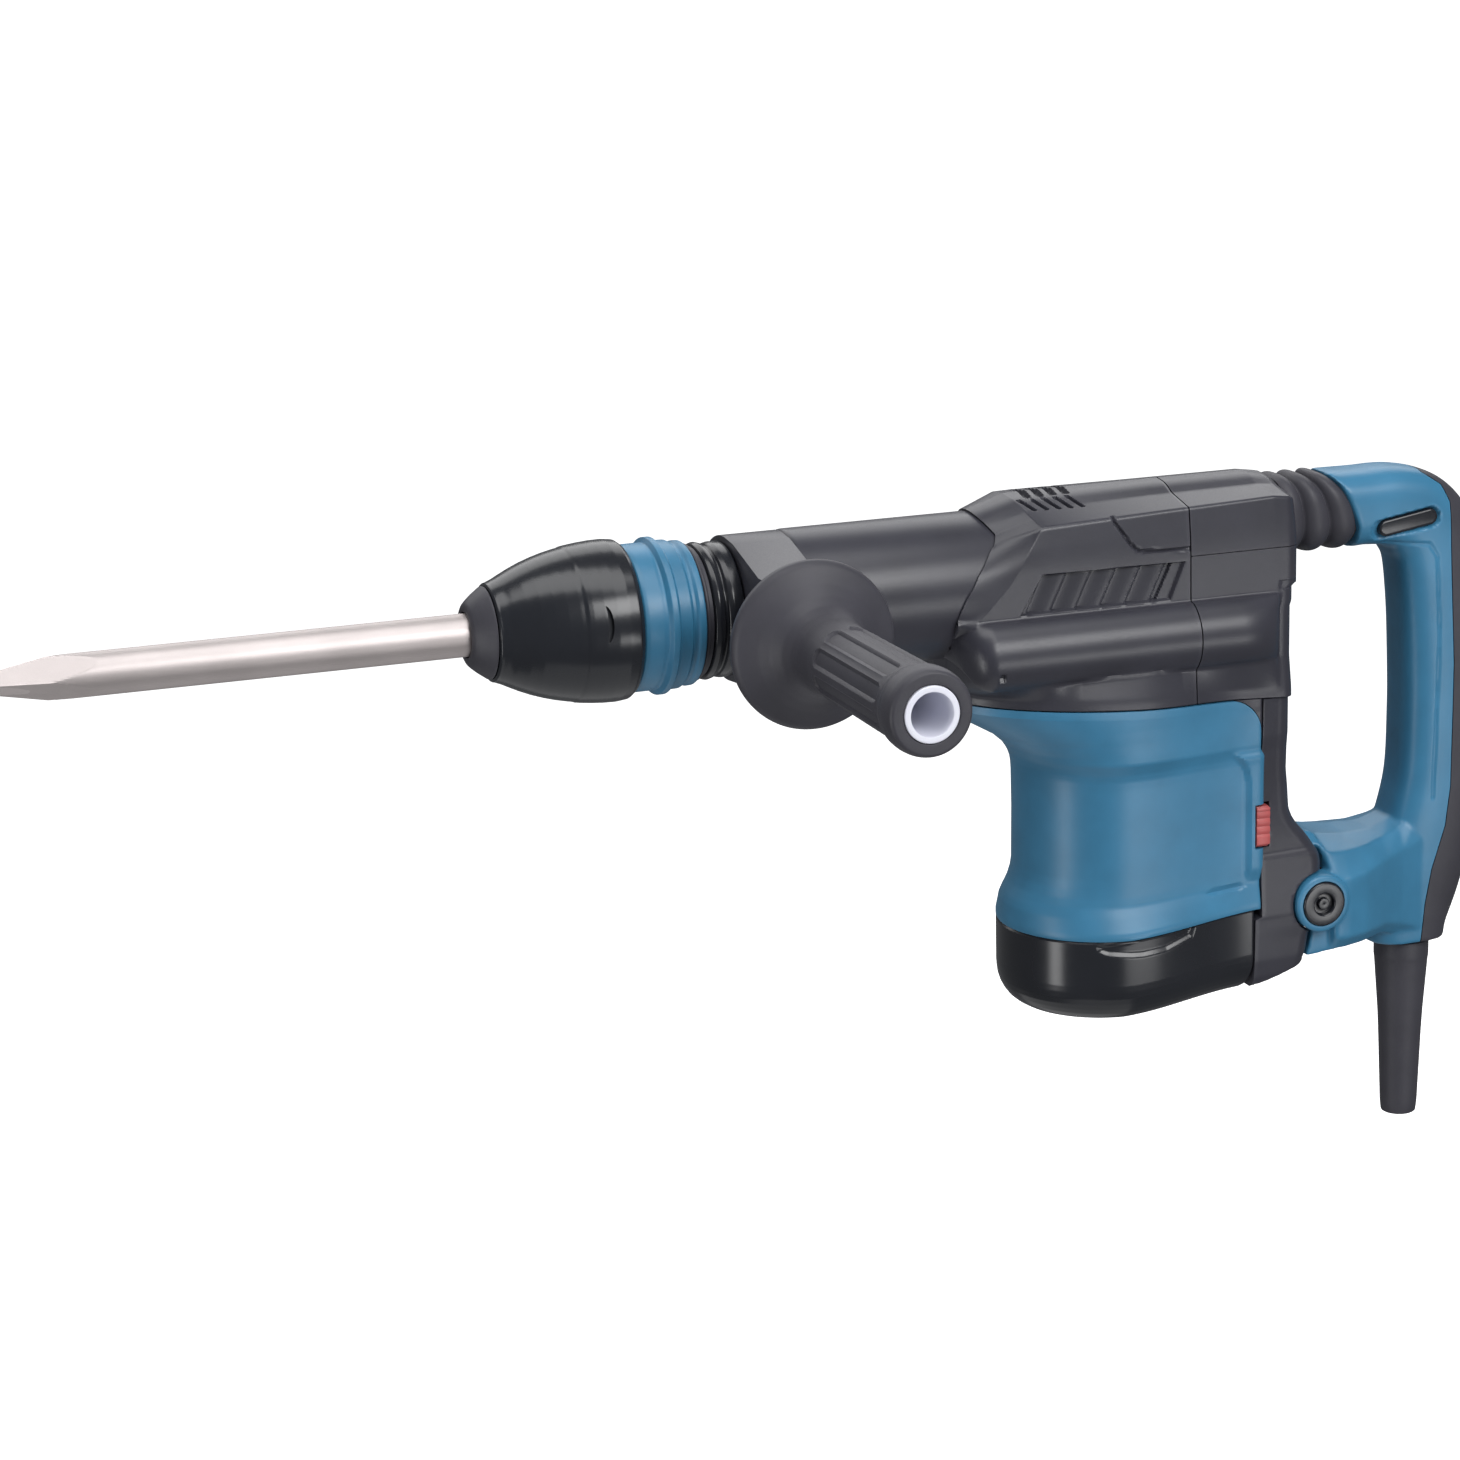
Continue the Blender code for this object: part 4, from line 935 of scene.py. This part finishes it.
def switch_lever():
    """A ribbed slide that reaches through the housing from side to side."""
    rings = []
    count, soft = 60, 0.0008
    for k in range(count + 1):
        share = k / count
        z = 0.0725 + 0.0180 * k / count
        inset = 0.0008 * (1 - ease(0.0, 0.06, share)) + 0.0008 * ease(0.94, 1.0, share)
        rib = 0.00045 * (1 - abs(math.cos(math.pi * 5 * k / count))) if 0.2 < share < 0.9 else 0.0
        x0, x1, y0, y1 = 0.0585, 0.0653 - inset, -0.0365 + inset + rib, 0.0305 - inset
        rings.append([(x0, y1, z), (x0, y0 + soft, z), (x0 + soft * 0.3, y0 + soft * 0.3, z), (x0 + soft, y0, z),
                      (x1 - soft, y0, z), (x1 - soft * 0.3, y0 + soft * 0.3, z), (x1, y0 + soft, z), (x1, y1, z)])
    put(solid("switch_slider", rings), "switch_lever", "red_plastic", "switch_lever")


# ---------------------------------------------------------------- rear handle

HANDLE = mm(  # x, z, half thickness in the handle's plane, half width
    (106, 212.2, 17.2, 18), (123, 212.2, 17, 17.8), (140, 211.2, 18, 17.5),
    (152, 205.5, 20, 17.2), (160.5, 193, 20.5, 17), (164.3, 170, 20.8, 17.2),
    (166, 140, 20.8, 17.6), (166.4, 115, 20.8, 17.6), (164.8, 85, 20.5, 17.2),
    (160, 60, 21.8, 17.2), (154, 40, 22.5, 17.2), (150, 23, 20.5, 17),
    (149.8, 11, 18.5, 16.5))
# x and height of the line between the handle's frame and its rubber back
SEAM = mm((148, 260), (151, 226.2), (159, 220.5), (162.2, 213), (162.8, 192), (165, 140), (164.8, 83),
          (162.5, 65), (156, 45), (153, 29), (151.5, 10.5), (150, -30))
# height and x of the handle's front edge, where the boot begins
FRONT_EDGE = mm((190, 115.5), (195.5, 116.7), (202.9, 117.4), (208.5, 117), (214.2, 115.5), (222, 111.2),
                (228.6, 106.3), (234, 101))


def handle_body():
    """The handle's path with its lower arm, remeshed into one soft-edged body."""
    path = smooth_path(HANDLE, 10)
    rings = []
    for i, (x, z, deep, wide) in enumerate(path):
        low, high = path[max(i - 1, 0)], path[min(i + 1, len(path) - 1)]
        along = Vector((high[0] - low[0], 0.0, high[1] - low[1])).normalized()
        if i == 0:
            along = Vector((1.0, 0.0, 0.0))
        out = along.cross(Vector((0.0, 1.0, 0.0)))
        ring = []
        ahead = 1 - ease(0.1060, 0.1300, x) if z > 0.2 else 0.0
        for a in angles(64):
            u, v = squared(math.cos(a), 2 / 3) * deep, squared(math.sin(a), 2 / 3) * wide
            p = Vector((x, 0.0, z)) + out * u + Vector((0.0, v, 0.0))
            p.x += (value_at(FRONT_EDGE, p.z) - 0.1060) * ahead
            ring.append(p)
        rings.append(ring)
    body = solid("handle_sweep", rings)
    # the arm, by x: bottom, top, half width, and the height of the crease along its side
    arm = []
    for x, low, high, half, crease in mm(
            (88.6, 60, 72.2, 21.5, 66.5), (96.4, 60, 69.2, 21.8, 65), (98.5, 19.2, 68, 34.5, 51.5),
            (101, 18.7, 67.2, 35.2, 51.4), (106, 18.7, 66.4, 34.8, 51.8), (116, 19, 65.2, 31.8, 53),
            (130, 19.3, 65.4, 24.5, 55.3), (140, 16.5, 69, 20, 57.5), (152, 12, 76, 16.8, 60)):
        side = [(half * 0.30, high), (half * 0.75, (high + crease) / 2 + 0.0028), (half, crease),
                (half, low + 0.0060), (half - 0.0050, low)]
        arm.append([(x, y, z) for y, z in side] + [(x, -y, z) for y, z in side[::-1]])
    bosses = [rod_y(PIVOT, BOSS, near, far, 96) for near, far in ((-0.0380, -0.0250), (0.0250, 0.0380))]
    web = prism(mm((86.6, 16.8), (88.2, 21.2), (89.6, 30), (101, 33), (104, 20), (101, 18.3)), 0.0298)
    join(body, solid("arm", arm), *bosses, web)
    remesh = body.modifiers.new("remesh", "REMESH")
    remesh.mode = "VOXEL"
    remesh.voxel_size = 0.0008
    body.modifiers.new("smooth", "SMOOTH").iterations = 12
    settle(body)
    # room for the rear cover's hub between the fork's cheeks
    return combine(body, block((0.0700, -0.0245, 0.0010), (0.1100, 0.0245, 0.0612)))


# x and height of the raised panel's edge on the handle's sides
PANEL_LINE = mm((131.6, 197), (152.3, 195), (156.3, 189), (158, 153.6), (157.1, 115.6), (156.4, 78.4))


# across the handle: a pivot cap's section, by distance from the middle and radius
CAP = ((35.2, 9.5), (35.6, 9.9), (38.4, 9.9), (38.9, 9.4), (38.9, 5.3), (38.5, 4.9), (36.2, 4.9), (36.2, 2.6),
       (38.2, 2.6), (38.4, 2.4), (38.4, 0.1))
# the slot through the handle's top: x and height of its two ends
SLOT_FRONT, SLOT_BACK = (0.1281, 0.2035), (0.1524, 0.2072)
SLOT_RADIUS = 0.0045


def handle_detail(p):
    """The slot in the handle's top and the fine line down its side."""
    depth = 0.0
    x, y, z = p.x, abs(p.y), p.z
    if y > 0.0120 and x > 0.1180:
        if z > 0.1900:
            gone = away(x, z, [SLOT_FRONT, SLOT_BACK])
            depth += 0.0030 * (1 - ease(SLOT_RADIUS - 0.0008, SLOT_RADIUS + 0.0006, gone))
        if 0.0760 < z < 0.1980:
            depth += groove(x, z, PANEL_LINE, 0.0006, 0.0005)
    return depth


def slot_insert(name, side):
    """A black pad with rounded ends, set into one side of the slot."""
    front, back = Vector(SLOT_FRONT), Vector(SLOT_BACK)
    along = (back - front).normalized()
    across = Vector((-along.y, along.x))
    front += along * 0.0030
    rings = []
    for inset, y in ((0.0008, 0.0120), (0.0008, 0.0158), (0.0010, 0.0163), (0.0014, 0.0166), (0.0022, 0.0167)):
        radius = SLOT_RADIUS - inset
        ring = []
        for t in angles(48):
            end = back if math.cos(t) >= 0 else front
            p = end + along * radius * math.cos(t) + across * radius * math.sin(t)
            ring.append((p.x, side * y, p.y))
        rings.append(ring)
    return solid(name, rings)


def handle():
    """The rear handle: a blue frame, a rubber back, slot inserts and the pivot's caps."""
    body = handle_body()
    made = bmesh.new()
    made.from_mesh(body.data)
    dent(made, handle_detail)
    made.to_mesh(body.data)
    made.free()
    for side in (-1, 1):
        near, far = sorted((side * 0.0350, side * 0.0500))
        combine(body, rod_y(PIVOT, CAP_SEAT, near, far, 96))
    combine(body, rod_y(PIVOT, PIN, -0.0600, 0.0600, 32))
    back = bpy.data.objects.new("grip_back", body.data.copy())
    scene.collection.objects.link(back)
    combine(body, prism([*SEAM, (0.2600, -0.0300), (0.2600, 0.2600)], 0.0800))
    combine(back, prism([(x + GAP * 1.6, z) for x, z in SEAM] + [(0.0300, -0.0300), (0.0300, 0.2600)], 0.0800))
    body.name = "grip_frame"
    soften(body, 0.0004, 50)
    soften(back, 0.0005, 50)
    put(body, "rear_handle", "blue_plastic", "handle_frame", sharp=40)
    put(back, "rear_handle", "grip_rubber", "handle_back", sharp=40)
    for side, where in ((-1, "left"), (1, "right")):
        put(slot_insert(f"slot_insert_{where}", side), "rear_handle", "black_plastic")
        cap = turned(f"cap_{where}", "-Y", Vector((PIVOT[0], 0.0, PIVOT[1])), [(-side * t, r) for t, r in CAP],
                     [(-side * CAP[0][0], 0.1)], 72, 0.3)
        put(cap, "rear_handle", "black_plastic", f"pivot_cap_{where}")


BOOT_X, BOOT_Z = 0.0806, AXIS_Z + 0.0175  # where the boot starts, and the height of its middle
# the boot and the spring inside it run between the housing and the handle: these two bodies and the points at their
# ends; put() reads it only to bake these pieces' placement, and nothing bends them
BOOT_BEND = ("hammer_body", "rear_handle", (0.0820, 0.0, BOOT_Z), (0.1040, 0.0, BOOT_Z))


def bellows():
    """A rubber boot with slanted ribs."""
    rings = []
    count = 72
    for i in range(count + 1):
        share = i / count
        rib = abs(math.sin(math.pi * (3 * share + 0.15))) ** 0.6
        swell = -0.0022 + 0.0038 * rib
        ring = []
        for a in angles(72):
            y = squared(math.cos(a), 0.72) * (0.0166 + swell)
            z = BOOT_Z + squared(math.sin(a), 0.72) * (0.0160 + swell)
            end = value_at(FRONT_EDGE, z) + 0.0012
            ring.append((BOOT_X + (end - BOOT_X) * share, y, z))
        rings.append(ring)
    boot = thicken(thing("boot", face_out(sheet(rings))), 0.0014)
    put(boot, "rear_handle", "grip_rubber", "bellows", sharp=60, blend=BOOT_BEND)


def springs():
    """The handle's spring, and two springs for each weight of the vibration absorber."""
    put(coil("boot_spring", BOOT_X, 0.1054, (0.0, BOOT_Z), 0.0085, 0.0011, 5), None, "spring_steel", "handle_spring",
        blend=BOOT_BEND)
    for side, where in ((-1, "left"), (1, "right")):
        y, z = side * 0.0310, AXIS_Z - 0.0305
        weight = f"absorber_weight_{where}"
        for place, start, end, first, second in (("front", -0.0690, -0.0533, "hammer_body", weight),
                                                 ("rear", -0.0207, -0.0025, weight, "hammer_body")):
            put(coil(f"{place}_coil_{where}", start, end, (y, z), 0.0060, 0.0009, 4), None, "spring_steel",
                f"absorber_spring_{place}_{where}",
                blend=(first, second, (start + 0.0010, y, z), (end - 0.0010, y, z)))


def cord_guard():
    """A tapered rubber sleeve where a cord would leave the handle."""
    guard = turned("bend_guard", "+Z", Vector((0.1510, 0.0, 0.0)),
                   [(-74, 7.2), (-73.5, 7.9), (-69, 8.4), (-35, 9.7), (-25, 10.2),
                    (0, 12.1), (2, 12.4), (9.5, 12.4)],
                   [(-74, 5), (9.5, 5)], 96, 0.6)
    put(guard, "rear_handle", "grip_rubber", "cord_guard")


def clamp():
    """The side handle's clamp: a band round the neck that runs on to the grip's seat."""
    front, rear = -0.1720, -0.1465
    centre, neck = -0.1600, 0.0258
    # the band's outline as height over the axis and y: a round back, then the two cheeks and the seat
    turns = [math.radians(-97.8 + 195.6 * i / 60) for i in range(61)]
    line = [(-0.0307 * math.sin(a), 0.0307 * math.cos(a)) for a in turns]
    line += [(-0.0296, -0.0120), (-0.0212, -0.0420), (-0.0212, -0.0520), (0.0212, -0.0520), (0.0212, -0.0420),
             (0.0296, -0.0120)]
    band = pushed("clamp_band", [(front, y, AXIS_Z + z) for z, y in line], (rear - front, 0.0, 0.0))
    combine(band, rod((centre, 0.0, AXIS_Z), neck, 0.1, 96, "Y"))
    for radius, near, far in ((0.0098, 0.0200, 0.0350), (PIN, 0.0300, 0.0700)):
        combine(band, rod_y((centre, AXIS_Z), radius, -far, -near, 48))
    soften(band, 0.0009, 30, 3)
    put(band, "side_handle", "dark_grey_plastic", "side_handle_base", sharp=30)


# ---------------------------------------------------------------- floor, light, camera

def floor_and_walls():
    """A pale floor, flat near the tool, that curves up into a wall all round."""
    flat = 8.0
    profile = [(0.0001, 0.0)] + [(float(k), 0.0) for k in range(1, 9)]
    profile += [(flat + flat * math.sin(a), flat - flat * math.cos(a))
                for a in (math.radians(6 * k) for k in range(1, 16))]
    rings = [[(r * math.cos(a), r * math.sin(a), z) for a in angles(96)] for r, z in profile]
    floor = thing("floor", sheet(rings))
    floor.data.shade_smooth()
    floor.location = (0.0, 0.0, -0.42)
    paper = bpy.data.materials.new("paper")
    paper.use_nodes = True
    tree = paper.node_tree
    clouds = add(tree, "TexNoise", "Fac", Vector=add(tree, "TexCoord", "Object"), Scale=3.0)
    tone = add(tree, "MapRange", "Result", Value=clouds, To_Min=0.86, To_Max=0.90)
    for key, value in (("Base Color", tone), ("Roughness", 0.9), ("Emission Color", (1.0, 1.0, 1.0, 1.0)),
                       ("Emission Strength", 1.0)):
        fill(tree, tree.nodes["Principled BSDF"].inputs[key], value)
    floor.data.materials.append(paper)
    floor.visible_diffuse = floor.visible_glossy = floor.visible_shadow = False


def lamps():
    """Soft lamps that the camera doesn't see."""
    world = bpy.data.worlds.new("studio")
    world.use_nodes = True
    sky = world.node_tree.nodes["Background"]
    sky.inputs["Color"].default_value = (0.95, 0.97, 1.0, 1.0)
    sky.inputs["Strength"].default_value = 0.16
    scene.world = world
    aim = Vector((-0.02, 0.0, 0.14))
    for name, place, size, power in (
        ("behind", (0.10, 1.20, 1.10), (2.6, 1.0), 15.0),
        ("overhead", (-0.20, -0.30, 1.50), (1.6, 0.8), 13.0),
        ("left_strip", (-1.25, -0.42, -0.08), (0.30, 0.85), 4.5),
        ("front_fill", (0.45, -1.65, 1.20), (1.2, 0.8), 26.0),
        ("front_low", (0.50, -1.35, -0.24), (0.8, 0.30), 4.0),
        ("below", (-0.15, 0.0, -0.80), (1.6, 0.9), 2.0),
    ):
        lamp = bpy.data.lights.new(name, "AREA")
        lamp.shape = "RECTANGLE"
        lamp.size, lamp.size_y = size
        lamp.energy = power
        obj = bpy.data.objects.new(name, lamp)
        obj.location = place
        obj.rotation_euler = (aim - Vector(place)).to_track_quat("-Z", "Y").to_euler()
        obj.visible_camera = False
        scene.collection.objects.link(obj)


def photo_camera():
    """The camera at the photograph's viewing angle."""
    turn, rise, roll = (math.radians(angle) for angle in (-19.53, 14.6, -1.4))
    look, distance = Vector((-0.1709, 0.0, 0.1422)), 1.7102
    right = Vector((math.cos(turn), math.sin(turn), 0.0))
    back = Vector((math.sin(turn) * math.cos(rise), -math.cos(turn) * math.cos(rise), math.sin(rise)))
    up = back.cross(right)
    right, up = right * math.cos(roll) + up * math.sin(roll), up * math.cos(roll) - right * math.sin(roll)
    lens = bpy.data.cameras.new("camera")
    lens.lens = 100.0
    lens.sensor_width = 36.0
    lens.clip_end = 300.0
    camera = bpy.data.objects.new("camera", lens)
    camera.matrix_world = Matrix.Translation(look + back * distance) @ Matrix((right, up, back)).transposed().to_4x4()
    scene.collection.objects.link(camera)
    scene.camera = camera
    scene.view_settings.view_transform = "Standard"


chisel()
chuck()
clamp()
side_handle()
gear_housing()
rear_case()
motor_case()
base_cup()
rear_cover()
switch_lever()
handle()
bellows()
springs()
cord_guard()
floor_and_walls()
lamps()
photo_camera()
